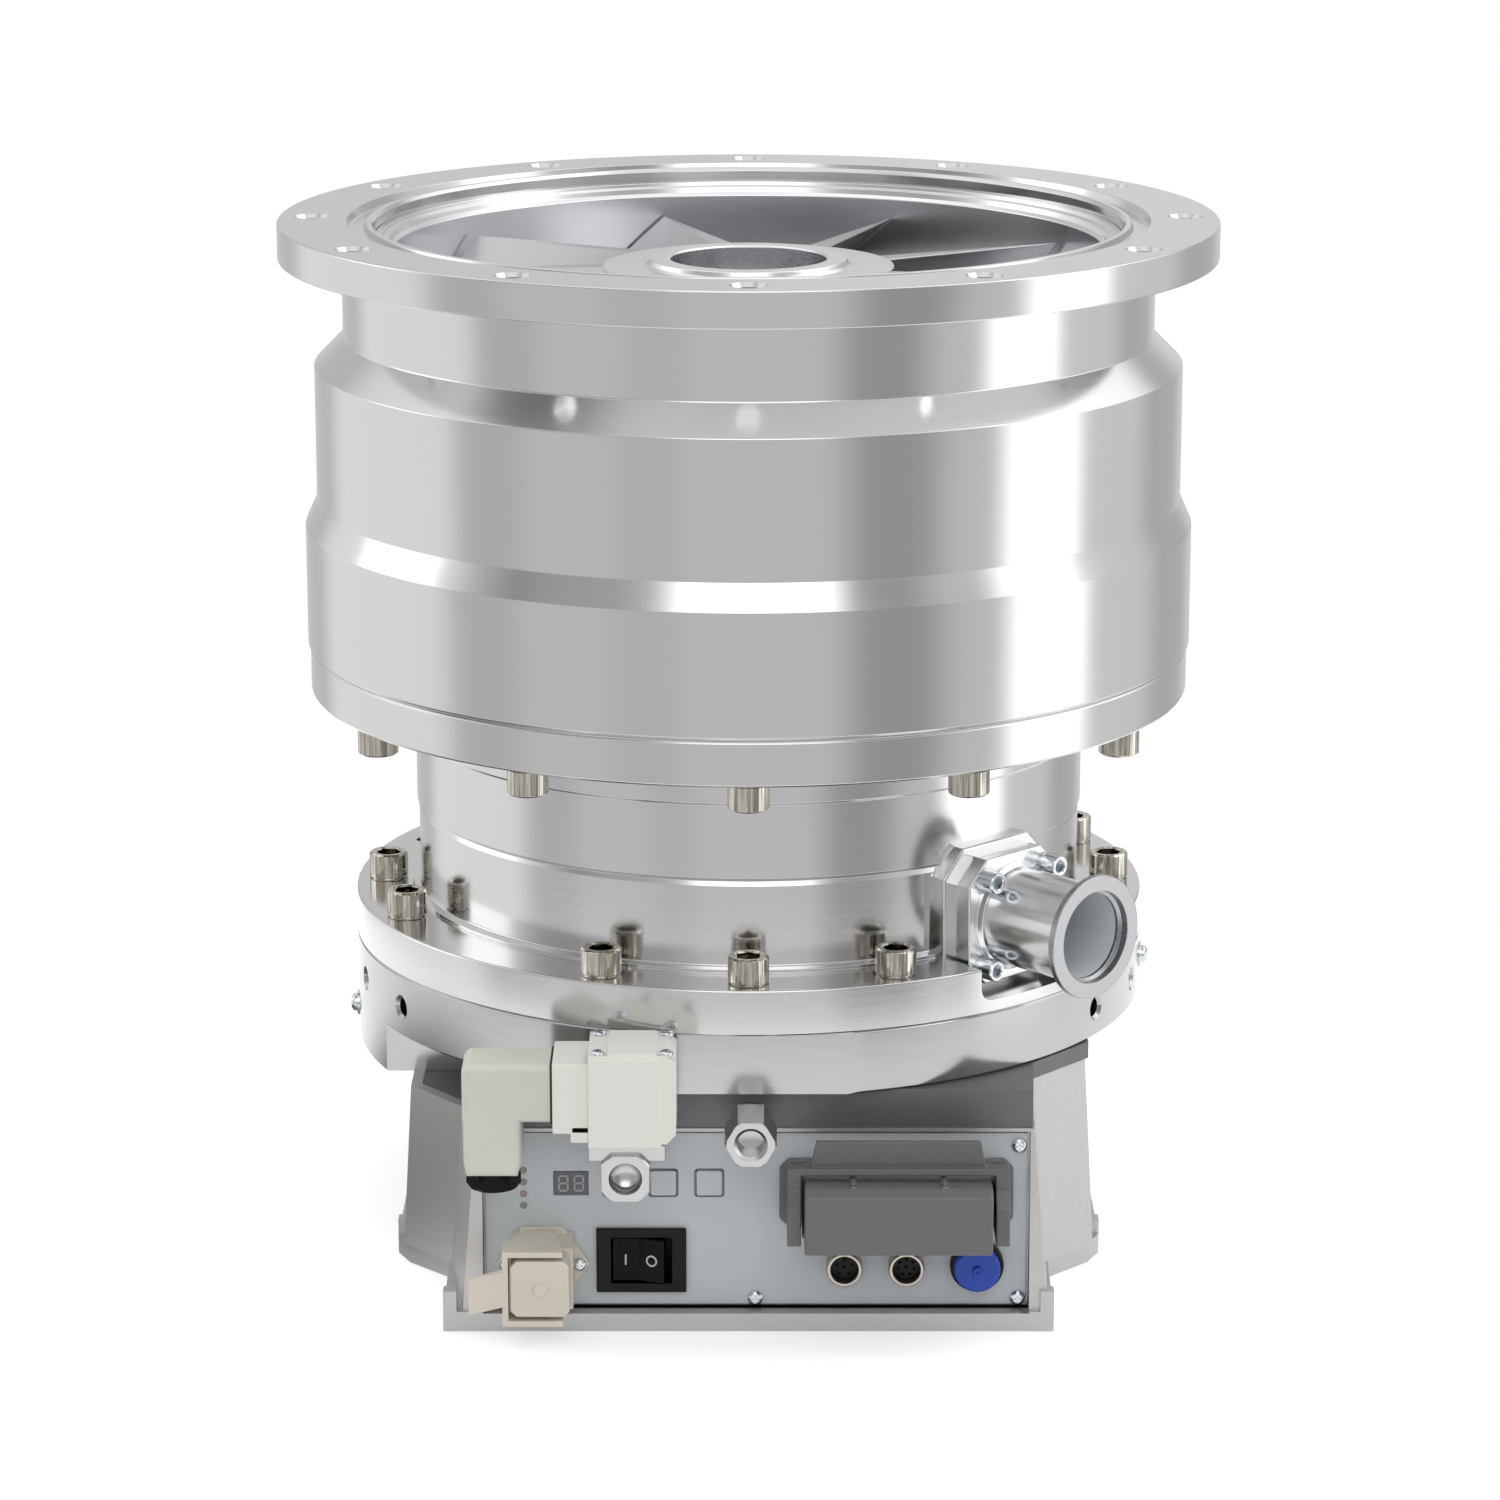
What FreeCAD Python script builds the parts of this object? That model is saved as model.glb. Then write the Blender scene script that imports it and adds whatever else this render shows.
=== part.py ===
import FreeCAD
import Part
import math
import os

# Turbomolecular pump with a built-in controller, in millimetres
# The rotor axis is Z, the standing surface is z = 0, and the control panel faces -Y

V = FreeCAD.Vector
UP = V(0, 0, 1)

# Heights of the main planes above the standing surface
INLET_Z = 468.0
CASING_FOOT_Z = 274.5
BASE_TOP_Z = 137.8
BASE_FOOT_Z = 109.5
BASE_STEP_Z = 88.2

# Inlet casing
BORE_R = 160.0
SLEEVE_ROOM = 9.0
STACK_CLEARANCE = 0.2
LIP_DEPTH = 7.0
CASING_BORE_R = BORE_R + SLEEVE_ROOM
NECK_WALL = 14.8
NECK_R = CASING_BORE_R + NECK_WALL
NECK_LENGTH = 35.4
UPPER_BODY_WALL = 28.0
UPPER_BODY_R = CASING_BORE_R + UPPER_BODY_WALL
UPPER_BODY_LENGTH = 61.1
LOWER_BODY_STEP = 5.4
LOWER_BODY_R = UPPER_BODY_R + LOWER_BODY_STEP
BODY_BEVEL = 12.0
FLANGE_LEDGE = 28.7
FLANGE_R = NECK_R + FLANGE_LEDGE
FLANGE_T = 16.3
BOLT_INSET = 15.0
BOLT_CIRCLE_R = FLANGE_R - BOLT_INSET
BOLT_HOLE_R = 7.0
BOLT_COUNT = 12

# Drag housing, a spool between two flanges
SPOOL_STEP = 1.1
SPOOL_FLANGE_R = LOWER_BODY_R - SPOOL_STEP
SPOOL_FLANGE_T = 20.6
SPOOL_R = 153.0
BASE_LEDGE = 29.4
BASE_R = SPOOL_R + BASE_LEDGE
BASE_FLANGE_T = 20.6

# Cap screws of the casing and of the base
SCREW_HEAD_R = 9.0
SCREW_HEAD_H = 12.0
SCREW_KEY = 10.0
SCREW_KEY_DEPTH = 6.0
SCREW_SIDES = 12
CASING_SCREW_INSET = 12.4
CASING_SCREW_CIRCLE_R = LOWER_BODY_R - CASING_SCREW_INSET
CASING_SCREW_COUNT = 12
BASE_SCREW_STAND = 15.0
BASE_SCREW_CIRCLE_R = SPOOL_R + BASE_SCREW_STAND
BASE_SCREW_PITCH = 22.5
BASE_SCREW_STEPS = (0, 1, 3, 4, 5, 7, 8, 9, 12, 13, 15)

# Base block
BASE_FLAT_DEPTH = 6.4
BASE_STEP_X = 118.3
BASE_STEP_Y = 78.5
SIDE_PORT_Z = 123.0
SIDE_PORT_ANGLES = (59.2, 74.7)
SIDE_PORT_R = 4.2
SIDE_PORT_SIDES = 12
SIDE_PORT_DEPTH = 16.0

# Exhaust port
EXHAUST_ANGLE = 44.0
EXHAUST_Z = 175.0
EXHAUST_BORE_R = 19.0
EXHAUST_WAY_R = 20.0
PIPE_R = 22.0
KF_R = 27.5
KF_RIM_T = 3.0
KF_TAPER_T = 3.3
KF_RIM_STEP = 0.8
TAPER_SIDES = 24
PAD_PROUD = 5.0
PAD_R = SPOOL_R + PAD_PROUD
PORT_LENGTH = 60.0
EXHAUST_FACE_R = PAD_R + PORT_LENGTH
PAD_HALF_WIDTH = 33.0
PAD_HALF_HEIGHT = 32.0
PORT_FLANGE_HALF = 28.5
PORT_FLANGE_CORNER = 11.0
PORT_FLANGE_T = 11.0
NOTCH_CLEARANCE = 3.0

# Rotor
HUB_TOP_Z = 446.0
HUB_TOP_R = 66.0
HUB_STEP_Z = 419.0
HUB_MIDDLE_R = 80.0
DRUM_TOP_Z = 300.0
DRUM_R = 104.0
DRUM_FOOT_Z = 202.0
COLLAR_R = 44.6
COLLAR_H = 3.4
HUB_BORE_R = 35.4
HUB_WEB_TOP_Z = 424.0
HUB_WEB_T = 14.0
BELL_R = 62.0
TIP_CLEARANCE = 1.4

# Blades of the top row: twisted and tapered from root to tip
TOP_ROW_COUNT = 9
TOP_ROW_FIRST = 35.0
TOP_ROW_LENGTH = 24.0
TOP_ROW_ROOT_WIDTH = 11.5
TOP_ROW_TIP_WIDTH = 1.4
TOP_ROW_ROOT_LEAN = 15.0
TOP_ROW_TIP_LEAN = 28.0
TOP_ROW_STRIPS = 3

# Lower blade rows: top height and axial length
ROTOR_ROW = (404.0, 15.0)
STATOR_ROWS = ((416.0, 9.0), (385.5, 10.0))
ROW_COUNT = 12
BLADE_WIDTH = 3.0
BLADE_LEAN = 14.0
BLADE_ROOT_SINK = 6.0
STATOR_GAP = 3.0

# Drag stage: slanted grooves in the housing around the rotor drum
DRAG_CLEARANCE = 0.3
GROOVE_COUNT = 6
GROOVE_DEPTH = 6.0
GROOVE_WIDTH = 26.0
GROOVE_SLANT = 28.0
GROOVE_FOOT_Z = 196.0

# Shaft, magnetic bearings and motor, hidden inside the rotor
HIDDEN_SIDES = 12
SHAFT_R = 15.0
SHAFT_FOOT_Z = 152.0
THRUST_R = 44.0
THRUST_T = 8.0
THRUST_Z = 170.0
THRUST_GAP = 0.5
THRUST_MAGNET_T = 12.0
CLAMP_HEAD_AF = 40.0
CLAMP_HEAD_H = 9.0
COLUMN_R = 57.0
COLUMN_BORE_R = 48.0
COLUMN_TOP_Z = 400.0
MAGNET_BORE_R = 16.5
UPPER_MAGNET_Z = 350.0
LOWER_MAGNET_Z = 204.0
MAGNET_LENGTH = 34.0
MAGNET_POLES = 4
MOTOR_Z = 258.0
MOTOR_LENGTH = 70.0
MOTOR_POLES = 6
POLE_ROOT_R = 32.0
POLE_SHARE = 0.55
TOUCHDOWN_BORE_R = 16.0
TOUCHDOWN_H = 10.0

# Controller housing plan: half-widths, depths and slopes
FRONT_SHIFT = 3.0
FRONT_TOP_HALF = 121.5
FRONT_FOOT_HALF = 129.0
FRONT_TOP_Y = 169.0
FRONT_FOOT_Y = 175.0
SHOULDER_TOP_Y = 132.0
SHOULDER_FOOT_Y = 114.0
SIDE_TOP_X = 151.5
SIDE_FOOT_X = 157.5
SIDE_TOP_Y = 102.0
SIDE_FOOT_Y = 88.0
BACK_TOP_Y = 146.0
BACK_FOOT_Y = 152.0
BACK_HALF = 112.0
HOUSING_WALL = 5.0
HOUSING_TOP_Z = 102.0
SKIRT_FOOT_Z = 91.6
SKIRT_T = 5.6
LID_RIM = 1.5
FOOT_T = 9.0
FOOT_FRONT_X = 134.5
FOOT_FRONT_Y = 177.0
FOOT_SHOULDER_Y = 110.0
FOOT_SIDE_X = 161.0
FOOT_SIDE_Y = 77.0
FOOT_DIAG_X = 155.0
FOOT_DIAG_Y = 90.0
FOOT_BACK_Y = 158.0
POST_T = 6.0
POST_DEPTH = 7.0
POST_H = 18.5
REAR_POST_H = 16.0
BOTTOM_PLATE_T = 3.0
BOTTOM_CLEARANCE = 0.3

# Supply board inside the controller
POWER_BOARD_HALF_W = 90.0
POWER_BOARD_HALF_D = 80.0
POWER_BOARD_POST_H = 10.0
BOARD_POST_W = 8.0
TRANSFORMER_INSET = 20.0
TRANSFORMER_W = 50.0
TRANSFORMER_H = 42.0
SINK_INSET = 10.0
SINK_W = 50.0
SINK_FLOOR_T = 4.0
FIN_H = 34.0
FIN_T = 3.0
FIN_GAP = 13.0
FIN_COUNT = 6

# Front panel
PANEL_X = 3.35
PANEL_HALF = 119.0
PANEL_FOOT_Z = 9.4
PANEL_TOP_Z = 88.9
PANEL_FACE_Y = 168.0
PANEL_T = 2.0
PANEL_MARGIN = 1.2
PANEL_LEDGE = 7.0

# Lamps, display, keys and their board
LAMP_X = -98.9
LAMP_TOP_Z = 71.7
LAMP_PITCH = 5.43
LAMP_COUNT = 4
LAMP_R = 1.6
LAMP_PROUD = 0.5
LAMP_SIDES = 8
DISPLAY_X = -78.0
DISPLAY_Z = 65.7
DISPLAY_W = 15.4
DISPLAY_H = 11.2
DISPLAY_PROUD = 0.2
KEY_XS = (-57.6, -37.4, -17.2)
KEY_Z = 65.9
KEY_SIZE = 11.2
KEY_CLEARANCE = 0.2
KEY_PROUD = 0.6
KEY_T = 1.9
BOARD_T = 1.6
BOARD_MARGIN = 6.0
BOARD_GAP = 0.6

# Power switch
SWITCH_X = -47.2
SWITCH_Z = 30.4
BEZEL_W = 39.6
BEZEL_H = 29.5
BEZEL_PROUD = 2.5
SWITCH_OPENING_W = 26.6
SWITCH_OPENING_H = 21.2
SWITCH_BODY_DEPTH = 20.0
SWITCH_WALL = 2.4
ROCKER_CLEARANCE = 0.5
ROCKER_TILT = 10.0
ROCKER_PIVOT_DEPTH = 5.0
ROCKER_SPAN = 11.6
ROCKER_END = 8.0
ROCKER_DIP = 5.8

# Power connector with its cap and locking lever
POWER_X = -90.6
POWER_Z = 29.1
POWER_FLANGE_HALF_W = 20.8
POWER_FLANGE_HALF_H = 17.0
POWER_FLANGE_NOSE = 9.0
POWER_FLANGE_T = 3.0
POWER_BODY_HALF_W = 14.0
POWER_BODY_HALF_H = 14.2
POWER_BODY_DEPTH = 22.0
POWER_CAP_HALF = 12.8
POWER_CAP_CORNER = 2.5
POWER_CAP_DEPTH = 13.0
POWER_PEG_R = 3.2
POWER_PEG_H = 1.5
SMALL_SIDES = 12
POWER_PIVOT_DEPTH = 13.0
POWER_ARM_T = 2.6
POWER_ARM_GAP = 0.4
POWER_ARM_REACH = 10.0
POWER_WEB_T = 2.6
POWER_LEVER_SIDE = 16.4
POWER_TAB_LENGTH = 14.0
POWER_TAB_RISE = 9.0
POWER_TAB_HALF_H = 8.0

# Signal connector with its cover and locking lever
SIGNAL_X = 64.9
SIGNAL_Z = 62.0
SIGNAL_FLANGE_HALF_W = 51.3
SIGNAL_FLANGE_HALF_H = 15.8
SIGNAL_FLANGE_T = 3.0
SIGNAL_FLANGE_CORNER = 4.0
SIGNAL_BODY_HALF_W = 41.6
SIGNAL_BODY_HALF_H = 13.6
SIGNAL_BODY_DEPTH = 24.0
SIGNAL_COVER_HALF_W = 40.7
SIGNAL_COVER_HALF_H = 14.5
SIGNAL_COVER_DEPTH = 43.0
SIGNAL_COVER_BEVEL = 3.0
SIGNAL_RIB_X = 19.7
SIGNAL_RIB_T = 2.4
SIGNAL_RIB_H = 2.2
SIGNAL_RIB_SINK = 1.0
SIGNAL_PIVOT_DEPTH = 17.0
SIGNAL_ARM_T = 6.0
SIGNAL_ARM_GAP = 0.6
SIGNAL_LEVER_FRONT = 31.0
SIGNAL_LEVER_TOP = 21.0
SIGNAL_LEVER_FOOT = 12.0
SIGNAL_BAR_T = 3.2
SIGNAL_BAR_W = 7.0
SIGNAL_ARM_REAR = 7.0
SIGNAL_ARM_HEEL = 3.0
SIGNAL_ARM_FOOT_RISE = 4.0
SIGNAL_ARM_WAIST = 6.0
SIGNAL_ARM_PROUD = 7.0
SIGNAL_KNEE_TOP = 11.0
SIGNAL_KNEE_FOOT = 5.0
SIGNAL_GRIP_T = 3.0
SIGNAL_GRIP_SINK = 1.0
SIGNAL_GRIP_H = 12.0
SIGNAL_GRIP_HALF_TOP = 35.6
SIGNAL_GRIP_HALF_FOOT = 38.2
SIGNAL_GRIP_LEAN = 2.0

# Round sockets and service port
SOCKET_XS = (42.2, 69.5)
SOCKET_Z = 28.0
SOCKET_R = 8.0
SOCKET_BORE_R = 6.0
SOCKET_PROUD = 8.0
SOCKET_SIDES = 18
SOCKET_RECESS = 5.0
SERVICE_X = 100.6
SERVICE_Z = 28.4
SERVICE_R = 11.8
SERVICE_PROUD = 4.5
SERVICE_CAP_R = 10.2
SERVICE_CAP_T = 5.0
SERVICE_NUB_R = 1.8
SERVICE_NUB_H = 2.0

# Purge fitting
PURGE_X = 1.0
PURGE_Z = 97.6
PURGE_REAR_AF = 12.0
PURGE_FRONT_AF = 19.6
PURGE_REAR_LENGTH = 12.5
PURGE_FRONT_LENGTH = 28.0
PORT_BORE_R = 5.9
PORT_THREAD_LENGTH = 13.0

# Vent valve
VALVE_X = -49.8
COIL_HALF_W = 18.8
COIL_FOOT_Z = 98.6
COIL_H = 42.0
COIL_STAND_OFF = 11.0
COIL_CLEARANCE = 0.2536
COIL_DEPTH = 37.5
COIL_CORNER = 4.0
COIL_STEP_W = 15.3
COIL_STEP_H = 31.4
COIL_STEP_FOOT_Z = 104.5
COIL_STEP_SETBACK = 2.0
COIL_LIP_H = 4.0
PLUG_GASKET_T = 1.2
PLUG_W = 38.0
PLUG_H = 26.4
PLUG_SETBACK = 8.5
PLUG_DEPTH = 27.0
PLUG_LEG_W = 25.4
PLUG_LEG_DROP = 24.5
PLUG_LEG_SETBACK = 1.0
PLUG_LEG_SINK = 3.5
GLAND_AF = 22.0
GLAND_H = 8.0
VALVE_BLOCK_REACH = 14.1
VALVE_BLOCK_H = 7.0
VALVE_BLOCK_SETBACK = 4.5
VALVE_PORT_HALF = 10.3
VALVE_PORT_Z = 84.4
VALVE_PORT_X = -52.8
VALVE_PORT_CORNER = 3.5
VALVE_PORT_SETBACK = 1.5
VALVE_FOOT_Z = 94.0
VALVE_FOOT_H = 14.0


# Plain shapes
def box(x0, x1, y0, y1, z0, z1):
    return Part.makeBox(x1 - x0, y1 - y0, z1 - z0, V(x0, y0, z0))


def tube(r_out, r_in, z0, z1):
    shape = Part.makeCylinder(r_out, z1 - z0, V(0, 0, z0), UP)
    return shape.cut(Part.makeCylinder(r_in, z1 - z0, V(0, 0, z0), UP))


def revolve(profile):
    """Turn a closed profile of (radius, height) points about the rotor axis."""
    points = [V(r, 0, z) for r, z in profile]
    face = Part.Face(Part.makePolygon(points + points[:1]))
    return face.revolve(V(0, 0, 0), UP, 360)


def plan_wire(points, z):
    corners = [V(x, y, z) for x, y in points]
    return Part.makePolygon(corners + corners[:1])


def prism(points, z0, z1):
    """Raise a closed outline of (x, y) points from z0 to z1."""
    return Part.Face(plan_wire(points, z0)).extrude(V(0, 0, z1 - z0))


def rod(radius, start, length, direction):
    return Part.makeCylinder(radius, length, start, direction)


def about_z(shape, degrees):
    copy = shape.copy()
    copy.rotate(V(0, 0, 0), UP, degrees)
    return copy


def skin(sections):
    """Solid through closed sections of equal point counts, its sides laid as flat triangles."""
    faces = [Part.Face(Part.makePolygon(list(s) + [s[0]])) for s in (sections[0], sections[-1])]
    for low, high in zip(sections, sections[1:]):
        for k in range(len(low)):
            a, b, c, d = low[k - 1], low[k], high[k], high[k - 1]
            faces.append(Part.Face(Part.makePolygon([a, b, c, a])))
            faces.append(Part.Face(Part.makePolygon([a, c, d, a])))
    solid = Part.makeSolid(Part.makeShell(faces))
    if solid.Volume < 0:
        solid.reverse()
    return solid


def shaped(base, cut=(), add=()):
    if add:
        base = base.fuse(list(add))
    if cut:
        base = base.cut(list(cut))
    return base.removeSplitter()


def edges_along(shape, axis):
    found = []
    for edge in shape.Edges:
        step = edge.Vertexes[-1].Point - edge.Vertexes[0].Point
        if step.Length > 1e-6 and abs(step.normalize().dot(axis)) > 0.999:
            found.append(edge)
    return found


def round_edges(shape, radius, axis):
    return shape.makeFillet(radius, edges_along(shape, axis))


def bevel_edges(shape, size, axis):
    return shape.makeChamfer(size, edges_along(shape, axis))


def regular_polygon(across_flats, sides, turn=0.0):
    radius = across_flats / 2 / math.cos(math.pi / sides)
    angles = [math.radians(turn + 360 * k / sides) for k in range(sides)]
    return [(radius * math.cos(a), radius * math.sin(a)) for a in angles]


# A panel item is drawn in (x, z) and grows towards the viewer, along -Y
def front_plate(points, face_y, thickness):
    """Plate whose outline is given in (x, z), from face_y back by thickness."""
    corners = [V(x, -face_y, z) for x, z in points]
    face = Part.Face(Part.makePolygon(corners + corners[:1]))
    return face.extrude(V(0, thickness, 0))


def front_box(x, z, half_w, half_h, front_y, back_y):
    return box(x - half_w, x + half_w, -front_y, -back_y, z - half_h, z + half_h)


def front_rod(x, z, radius, front_y, back_y):
    return rod(radius, V(x, -front_y, z), front_y - back_y, V(0, 1, 0))


def front_polygon(x, z, radius, sides, front_y, back_y):
    """Small round piece on the panel, kept to few faces."""
    across = 2 * radius * math.cos(math.pi / sides)
    points = [(x + a, z + b) for a, b in regular_polygon(across, sides, 180 / sides)]
    return front_plate(points, front_y, front_y - back_y)


# Cap screws: only the heads are solids of their own, seated on their flange
def screw_head():
    """Head with its seat at z = 0 and the key socket at the top."""
    across = 2 * SCREW_HEAD_R * math.cos(math.pi / SCREW_SIDES)
    head = prism(regular_polygon(across, SCREW_SIDES), 0, SCREW_HEAD_H)
    key = prism(regular_polygon(SCREW_KEY, 6), SCREW_HEAD_H - SCREW_KEY_DEPTH, SCREW_HEAD_H)
    return head.cut(key)


def on_circle(shape, radius, angle, height):
    copy = shape.copy()
    copy.translate(V(0, -radius, height))
    return about_z(copy, angle)


def casing_screws():
    hanging = screw_head()
    hanging.rotate(V(0, 0, 0), V(1, 0, 0), 180)
    return [on_circle(hanging, CASING_SCREW_CIRCLE_R, 360.0 * k / CASING_SCREW_COUNT,
                      CASING_FOOT_Z - SPOOL_FLANGE_T) for k in range(CASING_SCREW_COUNT)]


def base_screws():
    return [on_circle(screw_head(), BASE_SCREW_CIRCLE_R, BASE_SCREW_PITCH * k,
                      BASE_TOP_Z + BASE_FLANGE_T) for k in BASE_SCREW_STEPS]


# Casing and housings
def stack_top_z():
    return INLET_Z - LIP_DEPTH


def inlet_flange():
    """Bolted ring that is welded to the top of the casing."""
    ring = tube(FLANGE_R, CASING_BORE_R, INLET_Z - FLANGE_T, INLET_Z)
    hole = Part.makeCylinder(BOLT_HOLE_R, FLANGE_T)
    return ring.cut([on_circle(hole, BOLT_CIRCLE_R, 360.0 * k / BOLT_COUNT, INLET_Z - FLANGE_T)
                     for k in range(BOLT_COUNT)])


def inlet_casing():
    neck_top = INLET_Z - FLANGE_T
    neck_foot = neck_top - NECK_LENGTH
    upper_top = neck_foot - (UPPER_BODY_R - NECK_R)
    upper_foot = upper_top - UPPER_BODY_LENGTH
    return revolve([
        (CASING_BORE_R, neck_top), (NECK_R, neck_top), (NECK_R, neck_foot), (UPPER_BODY_R, upper_top),
        (UPPER_BODY_R, upper_foot), (LOWER_BODY_R, upper_foot - BODY_BEVEL),
        (LOWER_BODY_R, CASING_FOOT_Z), (CASING_BORE_R, CASING_FOOT_Z)])


def drag_bore_r():
    return DRUM_R + DRAG_CLEARANCE


def exhaust_pad():
    """Flat pad on the spool that the port flange is screwed to."""
    pad = box(-PAD_HALF_WIDTH, PAD_HALF_WIDTH, -PAD_R, -SPOOL_R / 2 - DRUM_R / 2,
              BASE_TOP_Z + BASE_FLANGE_T, EXHAUST_Z + PAD_HALF_HEIGHT)
    return about_z(pad, EXHAUST_ANGLE)


def exhaust_notch():
    """Rounded pocket in the lower flange that clears the port flange."""
    half = PORT_FLANGE_HALF + NOTCH_CLEARANCE
    foot = EXHAUST_Z - half
    notch = box(-half, half, -BASE_R - 1, -PAD_R, foot, EXHAUST_Z)
    notch = round_edges(notch, 6.0, V(0, 1, 0))
    return about_z(notch, EXHAUST_ANGLE)


def groove(angle):
    """Straight slanted slot in the wall of the drag stage."""
    outer = drag_bore_r() + GROOVE_DEPTH
    length = 2 * (CASING_FOOT_Z - GROOVE_FOOT_Z)
    slot = box(outer / 2, outer, -GROOVE_WIDTH / 2, GROOVE_WIDTH / 2, -length / 2, length / 2)
    slot.rotate(V(0, 0, 0), V(1, 0, 0), GROOVE_SLANT)
    slot.translate(V(0, 0, (CASING_FOOT_Z + GROOVE_FOOT_Z) / 2))
    return about_z(slot, angle)


def drag_grooves():
    slots = [groove(360.0 * k / GROOVE_COUNT) for k in range(GROOVE_COUNT)]
    zone = Part.makeCylinder(SPOOL_R, CASING_FOOT_Z - GROOVE_FOOT_Z, V(0, 0, GROOVE_FOOT_Z), UP)
    return slots[0].fuse(slots[1:]).common(zone)


def spool_flange():
    """Ring between the casing and the neck; the slanted grooves start in it."""
    ring = tube(SPOOL_FLANGE_R, drag_bore_r(), CASING_FOOT_Z - SPOOL_FLANGE_T, CASING_FOOT_Z)
    return ring.cut(drag_grooves())


def drag_housing():
    """Neck of the spool, with the grooves inside and the exhaust pad outside."""
    neck = tube(SPOOL_R, drag_bore_r(), BASE_TOP_Z + BASE_FLANGE_T, CASING_FOOT_Z - SPOOL_FLANGE_T)
    bore = about_z(front_rod(0, EXHAUST_Z, EXHAUST_WAY_R, PAD_R + 1, DRUM_R / 2), EXHAUST_ANGLE)
    return shaped(neck, cut=[bore, drag_grooves()], add=[exhaust_pad()])


def neck_flange():
    """Ring at the foot of the neck, notched under the exhaust port."""
    ring = tube(BASE_R, drag_bore_r(), BASE_TOP_Z, BASE_TOP_Z + BASE_FLANGE_T)
    return ring.cut(exhaust_notch())


def side_ports():
    floor_y = BASE_R - SIDE_PORT_DEPTH
    port = front_polygon(0, SIDE_PORT_Z, SIDE_PORT_R, SIDE_PORT_SIDES, BASE_R + 1, floor_y)
    return [about_z(port, side * angle) for angle in SIDE_PORT_ANGLES for side in (-1, 1)]


def hidden_ring(outer_r, inner_r, z0, z1):
    """Ring inside the pump, drawn as a prism to keep its faces few."""
    outer, inner = ([(r * x, r * y) for x, y in regular_polygon(2, HIDDEN_SIDES)]
                    for r in (outer_r, inner_r))
    return prism(outer, z0, z1).cut(prism(inner, z0, z1))


def base_block():
    """Round block with a step down at its left, and the column that holds the bearings."""
    disc = Part.makeCylinder(BASE_R, BASE_TOP_Z - BASE_FOOT_Z, V(0, 0, BASE_FOOT_Z), UP)
    low = Part.makeCylinder(BASE_R, BASE_FOOT_Z - BASE_STEP_Z, V(0, 0, BASE_STEP_Z), UP)
    keep = box(-BASE_R, -BASE_STEP_X, -BASE_STEP_Y, BASE_STEP_Y, BASE_STEP_Z, BASE_FOOT_Z)
    flat = box(-BASE_R, BASE_R, -BASE_R, BASE_FLAT_DEPTH - BASE_R, BASE_FOOT_Z, BASE_TOP_Z)
    column = hidden_ring(COLUMN_R, COLUMN_BORE_R, BASE_TOP_Z, COLUMN_TOP_Z)
    return shaped(disc, cut=[flat] + side_ports(), add=[low.common(keep), column])


# Exhaust port
def exhaust_port():
    """Clamp-flange pipe on a square plate with cut corners."""
    half = PORT_FLANGE_HALF
    flange = front_box(0, EXHAUST_Z, half, half, PAD_R + PORT_FLANGE_T, PAD_R)
    flange = bevel_edges(flange, PORT_FLANGE_CORNER, V(0, 1, 0))
    pipe = front_rod(0, EXHAUST_Z, PIPE_R, EXHAUST_FACE_R, PAD_R)
    rim = front_rod(0, EXHAUST_Z, KF_R, EXHAUST_FACE_R, EXHAUST_FACE_R - KF_RIM_T)
    back = EXHAUST_FACE_R - KF_RIM_T
    taper = skin([[V(r * x, -y, EXHAUST_Z + r * z) for x, z in regular_polygon(2, TAPER_SIDES)]
                  for r, y in ((PIPE_R, back - KF_TAPER_T), (KF_R - KF_RIM_STEP, back))])
    bore = front_rod(0, EXHAUST_Z, EXHAUST_BORE_R, EXHAUST_FACE_R, PAD_R)
    return about_z(shaped(flange, cut=[bore], add=[pipe, rim, taper]), EXHAUST_ANGLE)


# Blades are drawn in the plane that faces outwards, as (sideways, height) at a radius
def slanted_section(radius, width, lean, top, length, shift=0.0):
    """Parallelogram with level ends: its foot lies further round than its top."""
    corners = [(shift - width, top), (shift, top), (shift + lean, top - length),
               (shift + lean - width, top - length)]
    return [V(radius, side, z) for side, z in corners]


def top_blade():
    """Blade of the top row, ruled from a wide steep root to a thin flat tip."""
    root_r = HUB_TOP_R - BLADE_ROOT_SINK
    tip_r = BORE_R - 2 * TIP_CLEARANCE
    sections = []
    for k in range(TOP_ROW_STRIPS + 1):
        share = k / TOP_ROW_STRIPS
        width = TOP_ROW_ROOT_WIDTH + share * (TOP_ROW_TIP_WIDTH - TOP_ROW_ROOT_WIDTH)
        lean = TOP_ROW_ROOT_LEAN + share * (TOP_ROW_TIP_LEAN - TOP_ROW_ROOT_LEAN)
        radius = root_r + share * (tip_r - root_r)
        sections.append(slanted_section(radius, width, lean, HUB_TOP_Z, TOP_ROW_LENGTH))
    return skin(sections)


def plain_blade(r0, r1, top, length, lean):
    """Flat slanted blade; its flat tip is drawn back so that its corners lie on the circle of radius r1."""
    corners = slanted_section(r0, BLADE_WIDTH, lean, top, length, (BLADE_WIDTH - lean) / 2)
    face = Part.Face(Part.makePolygon(corners + corners[:1]))
    half_width = (BLADE_WIDTH + BLADE_LEAN) / 2
    return face.extrude(V(math.sqrt(r1 ** 2 - half_width ** 2) - r0, 0, 0))


def blade_row(blade, count, first=0.0):
    return [about_z(blade, first - 90 + 360.0 * k / count) for k in range(count)]


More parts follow.
